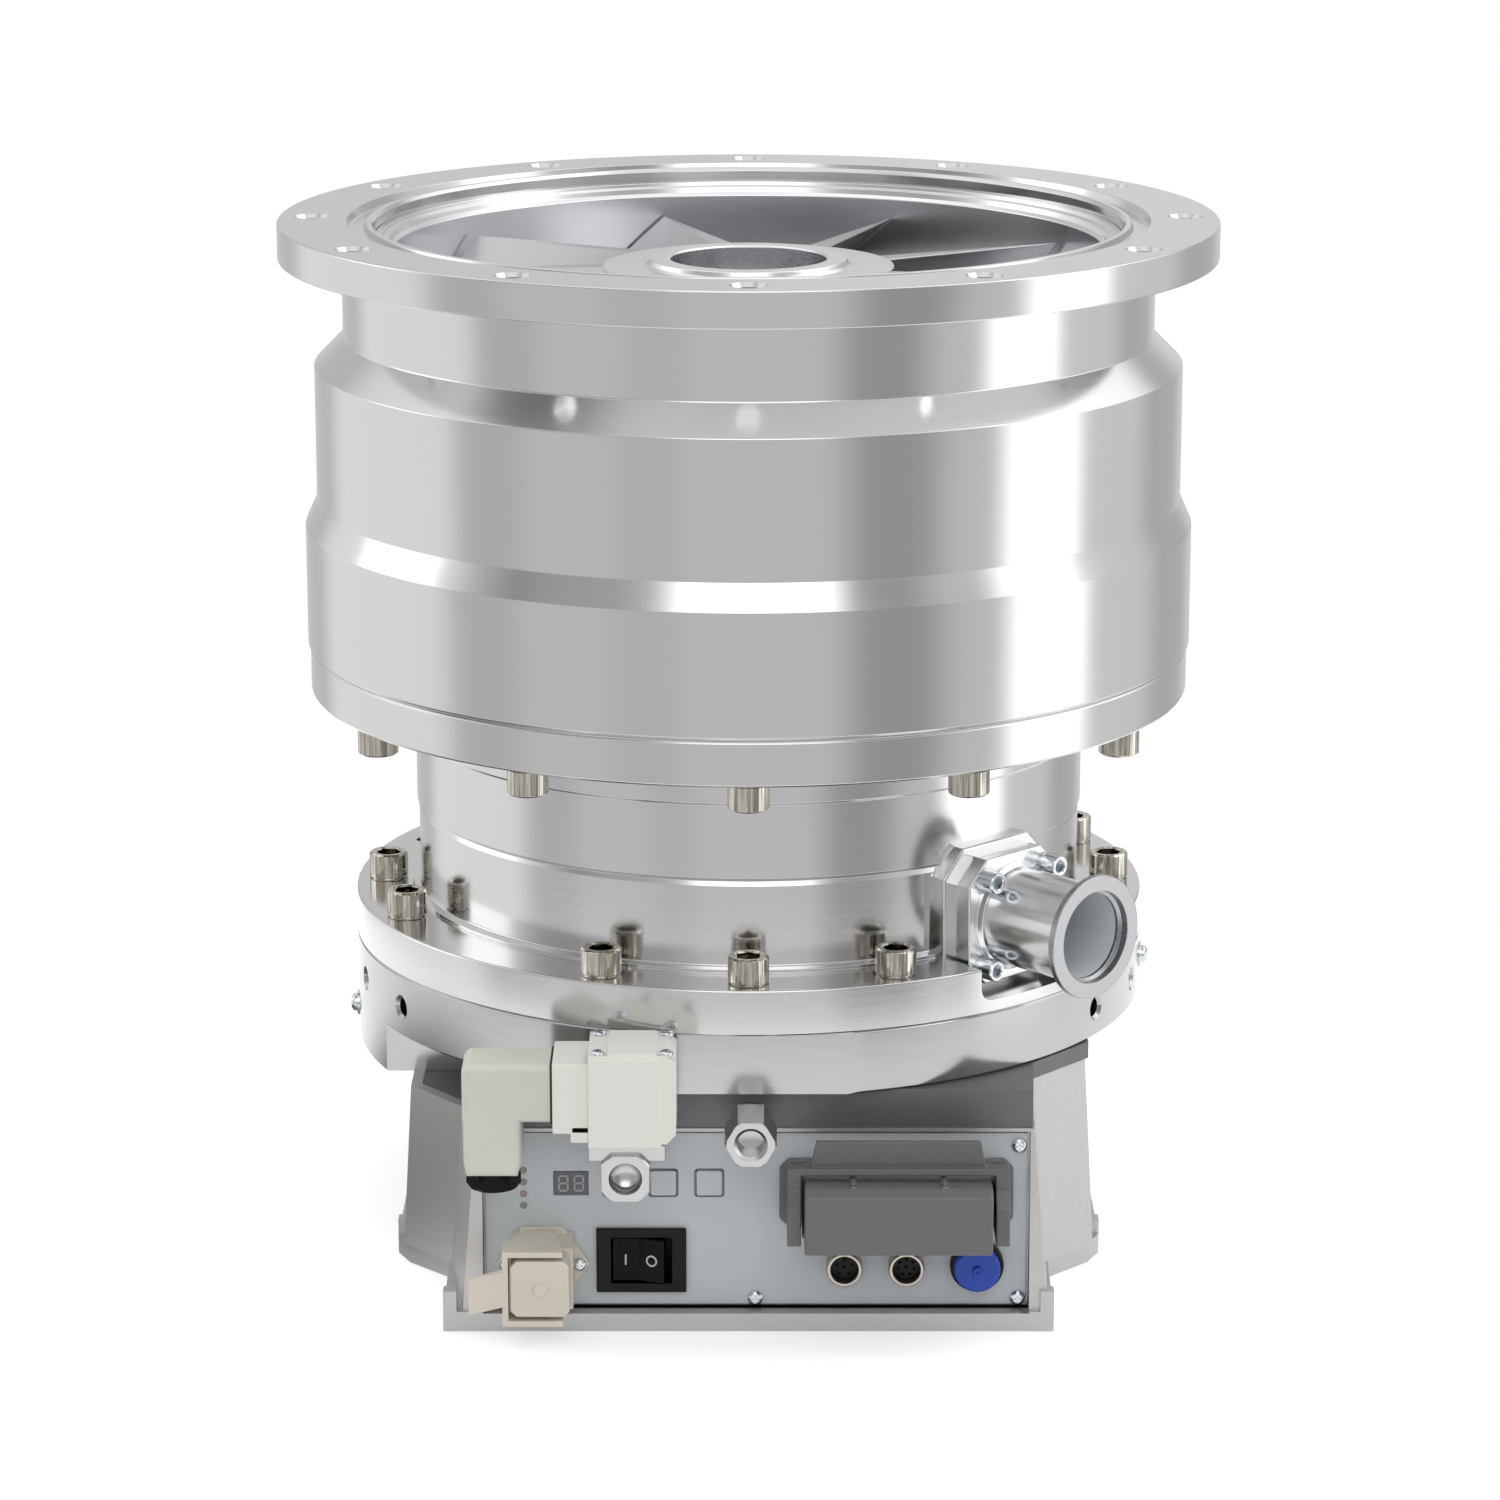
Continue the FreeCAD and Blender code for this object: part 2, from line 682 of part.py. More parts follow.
def rotor():
    """Hub with the bell that covers the bearings and the drum of the drag stage."""
    web_foot = HUB_WEB_TOP_Z - HUB_WEB_T
    collar_top = HUB_TOP_Z + COLLAR_H
    return revolve([
        (0, HUB_WEB_TOP_Z), (HUB_BORE_R, HUB_WEB_TOP_Z), (HUB_BORE_R, collar_top),
        (COLLAR_R, collar_top), (COLLAR_R, HUB_TOP_Z), (HUB_TOP_R, HUB_TOP_Z),
        (HUB_TOP_R, HUB_STEP_Z), (HUB_MIDDLE_R, HUB_STEP_Z), (HUB_MIDDLE_R, DRUM_TOP_Z),
        (DRUM_R, DRUM_TOP_Z), (DRUM_R, DRUM_FOOT_Z), (BELL_R, DRUM_FOOT_Z), (BELL_R, web_foot),
        (0, web_foot)])


def rotor_top_row():
    """Wide blades whose roots end on the round of the hub."""
    blade = top_blade().cut(Part.makeCylinder(HUB_TOP_R, INLET_Z))
    return blade_row(blade, TOP_ROW_COUNT, TOP_ROW_FIRST)


def rotor_lower_row():
    top, length = ROTOR_ROW
    blade = plain_blade(HUB_MIDDLE_R, BORE_R - TIP_CLEARANCE, top, length, BLADE_LEAN)
    return blade_row(blade, ROW_COUNT)


def spacer_sleeve():
    """Spacer rings that hold the stator rows, stacked into one sleeve in the casing's bore."""
    return tube(CASING_BORE_R - STACK_CLEARANCE, BORE_R, CASING_FOOT_Z, stack_top_z())


def stator_row(top, length):
    blade = plain_blade(HUB_MIDDLE_R + STATOR_GAP, BORE_R, top, length, -BLADE_LEAN)
    return blade_row(blade, ROW_COUNT)


# Shaft, bearings and motor
def hidden_rod(radius, z0, z1):
    return prism([(radius * x, radius * y) for x, y in regular_polygon(2, HIDDEN_SIDES)], z0, z1)


def shaft():
    """Rotor shaft with the disc that the axial bearing pulls on."""
    half = THRUST_T / 2
    body = hidden_rod(SHAFT_R, SHAFT_FOOT_Z, HUB_WEB_TOP_Z - HUB_WEB_T)
    return body.fuse(hidden_rod(THRUST_R, THRUST_Z - half, THRUST_Z + half)).removeSplitter()


def clamp_screw():
    return prism(regular_polygon(CLAMP_HEAD_AF, 6), HUB_WEB_TOP_Z, HUB_WEB_TOP_Z + CLAMP_HEAD_H)


def pole_outline(poles, bore_r):
    """Inner outline of a laminated stack: square-ended poles with slots between them."""
    points = []
    for k in range(poles):
        for radius, share in ((bore_r, 0), (bore_r, POLE_SHARE),
                              (POLE_ROOT_R, POLE_SHARE), (POLE_ROOT_R, 1)):
            angle = 2 * math.pi * (k + share) / poles
            points.append((radius * math.cos(angle), radius * math.sin(angle)))
    return points


def laminated_stack(poles, z0, length):
    body = hidden_rod(COLUMN_BORE_R, z0, z0 + length)
    return body.cut(prism(pole_outline(poles, MAGNET_BORE_R + 1), z0, z0 + length))


def thrust_magnet():
    z0 = THRUST_Z + THRUST_T / 2 + THRUST_GAP
    return hidden_ring(COLUMN_BORE_R, MAGNET_BORE_R, z0, z0 + THRUST_MAGNET_T)


def touchdown_bearings():
    return [hidden_ring(COLUMN_BORE_R, TOUCHDOWN_BORE_R, z, z + TOUCHDOWN_H)
            for z in (UPPER_MAGNET_Z + MAGNET_LENGTH, LOWER_MAGNET_Z - TOUCHDOWN_H)]


# Controller housing
def mirrored(points, shift_first=0.0):
    """Close an outline given for its right half, front to back."""
    left = [(-x + (2 * shift_first if k == 0 else 0), y) for k, (x, y) in enumerate(points)]
    return points + left[::-1]


def housing_outline(share, inset=0.0):
    """Plan of the cast housing: share 0 at its foot and 1 at its top."""
    def mix(foot, top):
        return foot + share * (top - foot)
    front_x = FRONT_SHIFT + mix(FRONT_FOOT_HALF, FRONT_TOP_HALF) - inset
    front_y = mix(FRONT_FOOT_Y, FRONT_TOP_Y) - inset
    side_x = mix(SIDE_FOOT_X, SIDE_TOP_X) - inset
    shoulder_x = mix(FOOT_FRONT_X, FRONT_SHIFT + FRONT_TOP_HALF + 2) - inset
    right = [(front_x, -front_y), (shoulder_x, -mix(SHOULDER_FOOT_Y, SHOULDER_TOP_Y) + inset / 2),
             (side_x, -mix(SIDE_FOOT_Y, SIDE_TOP_Y) + inset / 2), (side_x, SIDE_TOP_Y - inset / 2),
             (BACK_HALF - inset / 2, mix(BACK_FOOT_Y, BACK_TOP_Y) - inset)]
    return mirrored(right, FRONT_SHIFT)


def drafted_block(z0, z1, inset=0.0):
    span = HOUSING_TOP_Z - FOOT_T
    return skin([[V(x, y, z) for x, y in housing_outline((z - FOOT_T) / span, inset)]
                 for z in (z0, z1)])


def foot_outline():
    right = [(FOOT_FRONT_X, -FOOT_FRONT_Y), (FOOT_FRONT_X + 1, -FOOT_SHOULDER_Y),
             (FOOT_DIAG_X, -FOOT_DIAG_Y), (FOOT_SIDE_X, -FOOT_SIDE_Y),
             (FOOT_SIDE_X, SIDE_TOP_Y + 4), (BACK_HALF + 5, FOOT_BACK_Y)]
    return mirrored(right)


def foot_posts():
    posts = []
    for side in (-1, 1):
        x0, x1 = sorted((side * FOOT_FRONT_X, side * (FOOT_FRONT_X - POST_T)))
        posts.append(box(x0, x1, -FOOT_FRONT_Y, -FOOT_FRONT_Y + POST_DEPTH, FOOT_T, POST_H))
        x0, x1 = sorted((side * FOOT_SIDE_X, side * (FOOT_SIDE_X - POST_T)))
        posts.append(box(x0, x1, -FOOT_SIDE_Y, -FOOT_SIDE_Y + POST_DEPTH, FOOT_T, REAR_POST_H))
    return posts


def panel_centre_z():
    return (PANEL_FOOT_Z + PANEL_TOP_Z) / 2


def panel_half_h():
    return (PANEL_TOP_Z - PANEL_FOOT_Z) / 2


def panel_back_y():
    return PANEL_FACE_Y - PANEL_T


def controller_housing():
    foot = prism(foot_outline(), 0, FOOT_T)
    shell = drafted_block(FOOT_T - 0.5, HOUSING_TOP_Z)
    hollow = drafted_block(-1, HOUSING_TOP_Z + 1, HOUSING_WALL)
    margin = PANEL_MARGIN
    window = front_box(PANEL_X, panel_centre_z(), PANEL_HALF + margin, panel_half_h() + margin,
                       FRONT_FOOT_Y + 3, panel_back_y())
    web = front_box(PANEL_X, panel_centre_z(), PANEL_HALF + margin, panel_half_h() + margin,
                    panel_back_y(), panel_back_y() - HOUSING_WALL)
    opening = front_box(PANEL_X, panel_centre_z(), PANEL_HALF - PANEL_LEDGE,
                        panel_half_h() - PANEL_LEDGE, FRONT_FOOT_Y, panel_back_y() - 2 * HOUSING_WALL)
    step = box(-FOOT_SIDE_X, -BASE_STEP_X, -FOOT_FRONT_Y, BACK_FOOT_Y, BASE_STEP_Z, HOUSING_TOP_Z + 1)
    skirt = box(-FOOT_SIDE_X, FOOT_SIDE_X, -FOOT_FRONT_Y, -FRONT_TOP_Y + SKIRT_T,
                SKIRT_FOOT_Z, HOUSING_TOP_Z + 1)
    body = shell.fuse([foot] + foot_posts())
    body = body.cut(hollow).fuse(web)
    return shaped(body, cut=[window, opening, step, skirt])


def lid_outline():
    x0 = -BASE_STEP_X + 0.3
    front_x = FRONT_SHIFT + FRONT_TOP_HALF
    side_x = SIDE_TOP_X + LID_RIM
    return [(x0, -FRONT_TOP_Y), (front_x, -FRONT_TOP_Y), (front_x + 2, -SHOULDER_TOP_Y),
            (side_x, -SIDE_TOP_Y), (side_x, SIDE_TOP_Y), (BACK_HALF, BACK_TOP_Y + LID_RIM),
            (x0, BACK_TOP_Y + LID_RIM)]


def controller_lid():
    plate = prism(lid_outline(), HOUSING_TOP_Z, BASE_FOOT_Z)
    skirt = box(-BASE_STEP_X + 0.3, FRONT_SHIFT + FRONT_TOP_HALF, -FRONT_TOP_Y,
                -FRONT_TOP_Y + SKIRT_T, SKIRT_FOOT_Z, HOUSING_TOP_Z)
    return shaped(plate, add=[skirt])


def bottom_plate():
    return drafted_block(0, BOTTOM_PLATE_T, HOUSING_WALL + BOTTOM_CLEARANCE)


def power_board():
    """Supply board on four posts, with its transformer and its heat sink."""
    w, d = POWER_BOARD_HALF_W, POWER_BOARD_HALF_D
    foot = BOTTOM_PLATE_T + POWER_BOARD_POST_H
    top = foot + BOARD_T
    board = box(-w, w, -d, d, foot, top)
    posts = []
    for x0 in (-w, w - BOARD_POST_W):
        for y0 in (-d, d - BOARD_POST_W):
            posts.append(box(x0, x0 + BOARD_POST_W, y0, y0 + BOARD_POST_W, BOTTOM_PLATE_T, foot))
    x0, y0 = TRANSFORMER_INSET - w, TRANSFORMER_INSET - d
    transformer = box(x0, x0 + TRANSFORMER_W, y0, y0 + TRANSFORMER_W, top, top + TRANSFORMER_H)
    x1 = w - SINK_INSET
    pitch = FIN_T + FIN_GAP
    fin_y = -pitch * (FIN_COUNT - 1) / 2
    fins = [box(x1 - SINK_W, x1, fin_y + pitch * k, fin_y + pitch * k + FIN_T, top + SINK_FLOOR_T, top + FIN_H)
            for k in range(FIN_COUNT)]
    floor = box(x1 - SINK_W, x1, fin_y - SINK_FLOOR_T, -fin_y + FIN_T + SINK_FLOOR_T, top, top + SINK_FLOOR_T)
    return shaped(board, add=posts + [transformer, floor] + fins)


# Front panel and what it carries
def lamp_places():
    return [(LAMP_X, LAMP_TOP_Z - k * LAMP_PITCH) for k in range(LAMP_COUNT)]


def front_panel():
    face, back = PANEL_FACE_Y, panel_back_y()
    plate = front_box(PANEL_X, panel_centre_z(), PANEL_HALF, panel_half_h(), face, back)
    key_half = KEY_SIZE / 2 + KEY_CLEARANCE
    cuts = [front_box(x, KEY_Z, key_half, key_half, face, back) for x in KEY_XS]
    cuts += [front_box(DISPLAY_X, DISPLAY_Z, DISPLAY_W / 2, DISPLAY_H / 2, face, back)]
    cuts += [front_box(SWITCH_X, SWITCH_Z, SWITCH_OPENING_W / 2 + SWITCH_WALL,
                       SWITCH_OPENING_H / 2 + SWITCH_WALL, face, back)]
    return shaped(plate, cut=cuts)


def board_front_y():
    return panel_back_y() - BOARD_GAP


def key_board():
    x0 = LAMP_X - BOARD_MARGIN
    x1 = KEY_XS[-1] + KEY_SIZE / 2 + BOARD_MARGIN
    z0 = LAMP_TOP_Z - LAMP_PITCH * LAMP_COUNT
    back = board_front_y()
    return box(x0, x1, -back, -back + BOARD_T, z0, LAMP_TOP_Z + BOARD_MARGIN)


def lamps():
    return [front_polygon(x, z, LAMP_R, LAMP_SIDES, PANEL_FACE_Y + LAMP_PROUD, PANEL_FACE_Y)
            for x, z in lamp_places()]


def display():
    return front_box(DISPLAY_X, DISPLAY_Z, DISPLAY_W / 2, DISPLAY_H / 2,
                     PANEL_FACE_Y + DISPLAY_PROUD, board_front_y())


def panel_key(index):
    front = PANEL_FACE_Y + KEY_PROUD
    return front_box(KEY_XS[index], KEY_Z, KEY_SIZE / 2, KEY_SIZE / 2, front, front - KEY_T)


# Power switch
def switch_pivot():
    return V(SWITCH_X, -(PANEL_FACE_Y - ROCKER_PIVOT_DEPTH), SWITCH_Z)


def switch_bezel():
    bezel = front_box(SWITCH_X, SWITCH_Z, BEZEL_W / 2, BEZEL_H / 2,
                      PANEL_FACE_Y + BEZEL_PROUD, PANEL_FACE_Y)
    body = front_box(SWITCH_X, SWITCH_Z, SWITCH_OPENING_W / 2 + SWITCH_WALL,
                     SWITCH_OPENING_H / 2 + SWITCH_WALL, PANEL_FACE_Y, PANEL_FACE_Y - SWITCH_BODY_DEPTH)
    pocket = front_box(SWITCH_X, SWITCH_Z, SWITCH_OPENING_W / 2, SWITCH_OPENING_H / 2,
                       PANEL_FACE_Y + BEZEL_PROUD, PANEL_FACE_Y - SWITCH_BODY_DEPTH + SWITCH_WALL)
    return shaped(bezel, cut=[pocket], add=[body])


def rocker():
    pivot = switch_pivot()
    half = SWITCH_OPENING_H / 2 - ROCKER_CLEARANCE
    outline = [(-ROCKER_SPAN, ROCKER_END), (-ROCKER_SPAN, 3.0), (-4.0, -4.0), (4.0, -4.0),
               (ROCKER_SPAN, 3.0), (ROCKER_SPAN, ROCKER_END), (0, ROCKER_DIP)]
    points = [V(pivot.x + x, pivot.y - y, pivot.z - half) for x, y in outline]
    body = Part.Face(Part.makePolygon(points + points[:1])).extrude(V(0, 0, 2 * half))
    body.rotate(pivot, UP, -ROCKER_TILT)
    return body


# Power connector
def power_outline():
    w = POWER_FLANGE_HALF_W
    h = POWER_FLANGE_HALF_H
    n = POWER_FLANGE_NOSE
    points = [(-w, 0), (-w + 3, -n / 2), (-n, -h), (n, -h), (w - 3, -n / 2), (w, 0),
              (w - 3, n / 2), (n, h), (-n, h), (-w + 3, n / 2)]
    return [(POWER_X + x, POWER_Z + z) for x, z in points]


def power_pivot_y():
    return PANEL_FACE_Y + POWER_PIVOT_DEPTH


def power_connector():
    flange = front_plate(power_outline(), PANEL_FACE_Y + POWER_FLANGE_T, POWER_FLANGE_T)
    body = front_box(POWER_X, POWER_Z, POWER_BODY_HALF_W, POWER_BODY_HALF_H,
                     PANEL_FACE_Y + POWER_BODY_DEPTH, PANEL_FACE_Y)
    return shaped(flange, add=[body])


def power_cap():
    back = PANEL_FACE_Y + POWER_BODY_DEPTH
    front = back + POWER_CAP_DEPTH
    cap = front_box(POWER_X, POWER_Z, POWER_CAP_HALF, POWER_CAP_HALF, front, back)
    cap = bevel_edges(cap, POWER_CAP_CORNER, V(0, 1, 0))
    peg = front_polygon(POWER_X, POWER_Z, POWER_PEG_R, SMALL_SIDES, front + POWER_PEG_H, front)
    return cap.fuse(peg)


def power_lever():
    pivot_y = power_pivot_y()
    front = PANEL_FACE_Y + POWER_BODY_DEPTH + POWER_CAP_DEPTH
    left = POWER_X - POWER_LEVER_SIDE
    reach = POWER_ARM_REACH
    arm = [(left, -front), (POWER_X + reach, -front), (POWER_X + reach, -front + 6),
           (POWER_X + 6, -pivot_y + 4), (POWER_X + 3, -pivot_y + 6), (POWER_X - 5, -pivot_y + 6),
           (left, -front + 12)]
    inner = POWER_BODY_HALF_H + POWER_ARM_GAP
    outer = inner + POWER_ARM_T
    arms = [prism(arm, POWER_Z + inner, POWER_Z + outer), prism(arm, POWER_Z - outer, POWER_Z - inner)]
    web = box(left, left + POWER_WEB_T, -front, -front + 12, POWER_Z - outer, POWER_Z + outer)
    tab_points = [(left + 1, -front + 5), (left - POWER_TAB_LENGTH, -front + 2 - POWER_TAB_RISE),
                  (left - POWER_TAB_LENGTH, -front - 1 - POWER_TAB_RISE), (left + 1, -front)]
    tab = prism(tab_points, POWER_Z - POWER_TAB_HALF_H, POWER_Z + POWER_TAB_HALF_H)
    return shaped(web, add=arms + [tab])


# Signal connector
def signal_connector():
    flange = front_box(SIGNAL_X, SIGNAL_Z, SIGNAL_FLANGE_HALF_W, SIGNAL_FLANGE_HALF_H,
                       PANEL_FACE_Y + SIGNAL_FLANGE_T, PANEL_FACE_Y)
    flange = bevel_edges(flange, SIGNAL_FLANGE_CORNER, V(0, 1, 0))
    body = front_box(SIGNAL_X, SIGNAL_Z, SIGNAL_BODY_HALF_W, SIGNAL_BODY_HALF_H,
                     PANEL_FACE_Y + SIGNAL_BODY_DEPTH, PANEL_FACE_Y)
    return shaped(flange, add=[body])


def signal_pivot_y():
    return PANEL_FACE_Y + SIGNAL_PIVOT_DEPTH


def signal_cover():
    back = PANEL_FACE_Y + SIGNAL_BODY_DEPTH
    front = PANEL_FACE_Y + SIGNAL_COVER_DEPTH
    h = SIGNAL_COVER_HALF_H
    bevel = SIGNAL_COVER_BEVEL
    side = [(-back, -h), (-front, -h), (-front, h - bevel), (-front + 2 * bevel, h), (-back, h)]
    x0 = SIGNAL_X - SIGNAL_COVER_HALF_W
    corners = [V(x0, y, SIGNAL_Z + z) for y, z in side]
    cover = Part.Face(Part.makePolygon(corners + corners[:1])).extrude(V(2 * SIGNAL_COVER_HALF_W, 0, 0))
    ribs = []
    for x in (SIGNAL_X - SIGNAL_RIB_X, SIGNAL_X + SIGNAL_RIB_X):
        ribs.append(box(x - SIGNAL_RIB_T / 2, x + SIGNAL_RIB_T / 2, -front + 2 * bevel, -back,
                        SIGNAL_Z + h - SIGNAL_RIB_SINK, SIGNAL_Z + h + SIGNAL_RIB_H))
    return shaped(cover, add=ribs)


def signal_lever():
    pivot_y = signal_pivot_y()
    front = PANEL_FACE_Y + SIGNAL_LEVER_FRONT
    top = SIGNAL_Z + SIGNAL_LEVER_TOP
    foot = SIGNAL_Z - SIGNAL_LEVER_FOOT
    rear = -pivot_y + SIGNAL_ARM_REAR
    proud = -front - SIGNAL_ARM_PROUD
    side = [(rear, foot + SIGNAL_ARM_FOOT_RISE), (rear, SIGNAL_Z + SIGNAL_ARM_WAIST),
            (-front + SIGNAL_BAR_W, top), (-front, top), (-front, SIGNAL_Z + SIGNAL_KNEE_TOP),
            (proud, SIGNAL_Z + SIGNAL_KNEE_FOOT), (proud, foot), (-pivot_y + SIGNAL_ARM_HEEL, foot)]
    inner = SIGNAL_BODY_HALF_W + SIGNAL_ARM_GAP
    arms = []
    for x0 in (SIGNAL_X - inner - SIGNAL_ARM_T, SIGNAL_X + inner):
        corners = [V(x0, y, z) for y, z in side]
        arms.append(Part.Face(Part.makePolygon(corners + corners[:1])).extrude(V(SIGNAL_ARM_T, 0, 0)))
    outer = inner + SIGNAL_ARM_T
    bar = box(SIGNAL_X - outer, SIGNAL_X + outer, -front, -front + SIGNAL_BAR_W, top - SIGNAL_BAR_T, top)
    grip_top = top + SIGNAL_GRIP_H
    y0 = -front + SIGNAL_GRIP_T
    foot_z = top - SIGNAL_GRIP_SINK
    foot_wire = [V(SIGNAL_X - SIGNAL_GRIP_HALF_FOOT, y0, foot_z),
                 V(SIGNAL_X + SIGNAL_GRIP_HALF_FOOT, y0, foot_z),
                 V(SIGNAL_X + SIGNAL_GRIP_HALF_TOP, y0 - SIGNAL_GRIP_LEAN, grip_top),
                 V(SIGNAL_X - SIGNAL_GRIP_HALF_TOP, y0 - SIGNAL_GRIP_LEAN, grip_top)]
    grip = Part.Face(Part.makePolygon(foot_wire + foot_wire[:1])).extrude(V(0, SIGNAL_GRIP_T, 0))
    return shaped(bar, add=arms + [grip])


# Sockets and service port
def socket_shells():
    front = PANEL_FACE_Y + SOCKET_PROUD
    return [front_polygon(x, SOCKET_Z, SOCKET_R, SOCKET_SIDES, front, PANEL_FACE_Y).cut(
        front_polygon(x, SOCKET_Z, SOCKET_BORE_R, SOCKET_SIDES, front, PANEL_FACE_Y)) for x in SOCKET_XS]


def socket_inserts():
    face = PANEL_FACE_Y + SOCKET_PROUD - SOCKET_RECESS
    return [front_polygon(x, SOCKET_Z, SOCKET_BORE_R, SOCKET_SIDES, face, PANEL_FACE_Y) for x in SOCKET_XS]


def service_port():
    front = PANEL_FACE_Y + SERVICE_PROUD
    return front_polygon(SERVICE_X, SERVICE_Z, SERVICE_R, SOCKET_SIDES, front, PANEL_FACE_Y)


def service_cap():
    seat = PANEL_FACE_Y + SERVICE_PROUD
    front = seat + SERVICE_CAP_T
    cap = front_polygon(SERVICE_X, SERVICE_Z, SERVICE_CAP_R, SOCKET_SIDES, front, seat)
    nub = front_polygon(SERVICE_X, SERVICE_Z, SERVICE_NUB_R, SMALL_SIDES, front + SERVICE_NUB_H, front)
    return cap.fuse(nub)


# Purge fitting
def front_hex(x, z, across_flats, front_y, back_y):
    points = [(x + a, z + b) for a, b in regular_polygon(across_flats, 6)]
    return front_plate(points, front_y, front_y - back_y)


def purge_front_y():
    return FRONT_TOP_Y + PURGE_REAR_LENGTH + PURGE_FRONT_LENGTH


def threaded_bore(x, z, front_y):
    return front_rod(x, z, PORT_BORE_R, front_y, front_y - PORT_THREAD_LENGTH)


def purge_fitting():
    front = purge_front_y()
    nose = front_hex(PURGE_X, PURGE_Z, PURGE_FRONT_AF, front, front - PURGE_FRONT_LENGTH)
    rear = front_hex(PURGE_X, PURGE_Z, PURGE_REAR_AF, front - PURGE_FRONT_LENGTH, FRONT_TOP_Y)
    return shaped(nose, cut=[threaded_bore(PURGE_X, PURGE_Z, front)], add=[rear])


# Vent valve
def coil_back_y():
    """The coil stands clear of the controller's front and of the round rim behind it."""
    rim = math.sqrt(BASE_R ** 2 - (VALVE_X + COIL_HALF_W) ** 2)
    return max(FRONT_TOP_Y + COIL_STAND_OFF, rim + COIL_CLEARANCE)


def coil_front_y():
    return coil_back_y() + COIL_DEPTH


def plug_front_y():
    return coil_front_y() - PLUG_SETBACK


def vent_coil():
    front, back = coil_front_y(), coil_back_y()
    main = box(VALVE_X - COIL_HALF_W, VALVE_X + COIL_HALF_W, -front, -back,
               COIL_FOOT_Z, COIL_FOOT_Z + COIL_H)
    main = main.makeChamfer(COIL_CORNER, right_edges(main))
    step_x = VALVE_X - COIL_HALF_W - COIL_STEP_W
    step = box(step_x, VALVE_X - COIL_HALF_W, -front + COIL_STEP_SETBACK, -back - COIL_STEP_SETBACK,
               COIL_STEP_FOOT_Z, COIL_STEP_FOOT_Z + COIL_STEP_H)
    lip = box(step_x + COIL_STEP_W / 2, VALVE_X - COIL_HALF_W, -front + COIL_STEP_SETBACK,
              -back - COIL_STEP_SETBACK, COIL_STEP_FOOT_Z - COIL_LIP_H, COIL_STEP_FOOT_Z)
    return shaped(main, add=[step, lip])


def right_edges(shape):
    edges = []
    for edge in shape.Edges:
        first, last = edge.Vertexes[0].Point, edge.Vertexes[-1].Point
        on_right = min(first.x, last.x) > VALVE_X
        if on_right and abs(first.y - last.y) > 1:
            edges.append(edge)
    return edges


def plug_right_x():
    return VALVE_X - COIL_HALF_W - COIL_STEP_W - PLUG_GASKET_T


def plug_foot_z():
    return COIL_STEP_FOOT_Z + (COIL_STEP_H - PLUG_H) / 2


def plug_gasket():
    x1 = plug_right_x()
    back = plug_front_y() - PLUG_DEPTH
    return box(x1, x1 + PLUG_GASKET_T, -plug_front_y(), -back, plug_foot_z(), plug_foot_z() + PLUG_H)


def angle_plug():
    """Square plug with a leg that hangs down to the cable gland."""
    x1 = plug_right_x()
    x0 = x1 - PLUG_W
    front = plug_front_y()
    back = front - PLUG_DEPTH
    foot = plug_foot_z()
    head = box(x0, x1, -front, -back, foot, foot + PLUG_H)
    leg = box(x0, x0 + PLUG_LEG_W, PLUG_LEG_SETBACK - front, -back - PLUG_LEG_SETBACK,
              foot - PLUG_LEG_DROP, foot + PLUG_LEG_SINK)
    return shaped(head, add=[leg])


def gland_centre():
    x0 = plug_right_x() - PLUG_W
    return V(x0 + PLUG_LEG_W / 2, PLUG_DEPTH / 2 - plug_front_y(), plug_foot_z() - PLUG_LEG_DROP)


def gland_nut():
    centre = gland_centre()
    points = [(centre.x + a, centre.y + b) for a, b in regular_polygon(GLAND_AF, 8, 22.5)]
    return prism(points, centre.z - GLAND_H, centre.z)


def valve_body():
    """Steel body: top block under the coil, square port bar, and a foot on the controller."""
    back = coil_back_y()
    port_front = coil_front_y() - VALVE_PORT_SETBACK
    block = box(VALVE_X - COIL_HALF_W, VALVE_X + VALVE_BLOCK_REACH, VALVE_BLOCK_SETBACK - coil_front_y(), -back,
                COIL_FOOT_Z - VALVE_BLOCK_H, COIL_FOOT_Z)
    half = VALVE_PORT_HALF
    bar = box(VALVE_PORT_X - half, VALVE_PORT_X + half, -port_front, -back,
              VALVE_PORT_Z - half, VALVE_PORT_Z + half)
    bar = bevel_edges(bar, VALVE_PORT_CORNER, V(0, 1, 0))
    foot = box(VALVE_PORT_X - half, VALVE_PORT_X + half, -back, -FRONT_TOP_Y,
               VALVE_FOOT_Z, VALVE_FOOT_Z + VALVE_FOOT_H)
    cuts = [threaded_bore(VALVE_PORT_X, VALVE_PORT_Z, port_front)]
    return shaped(block, cut=cuts, add=[bar, foot])


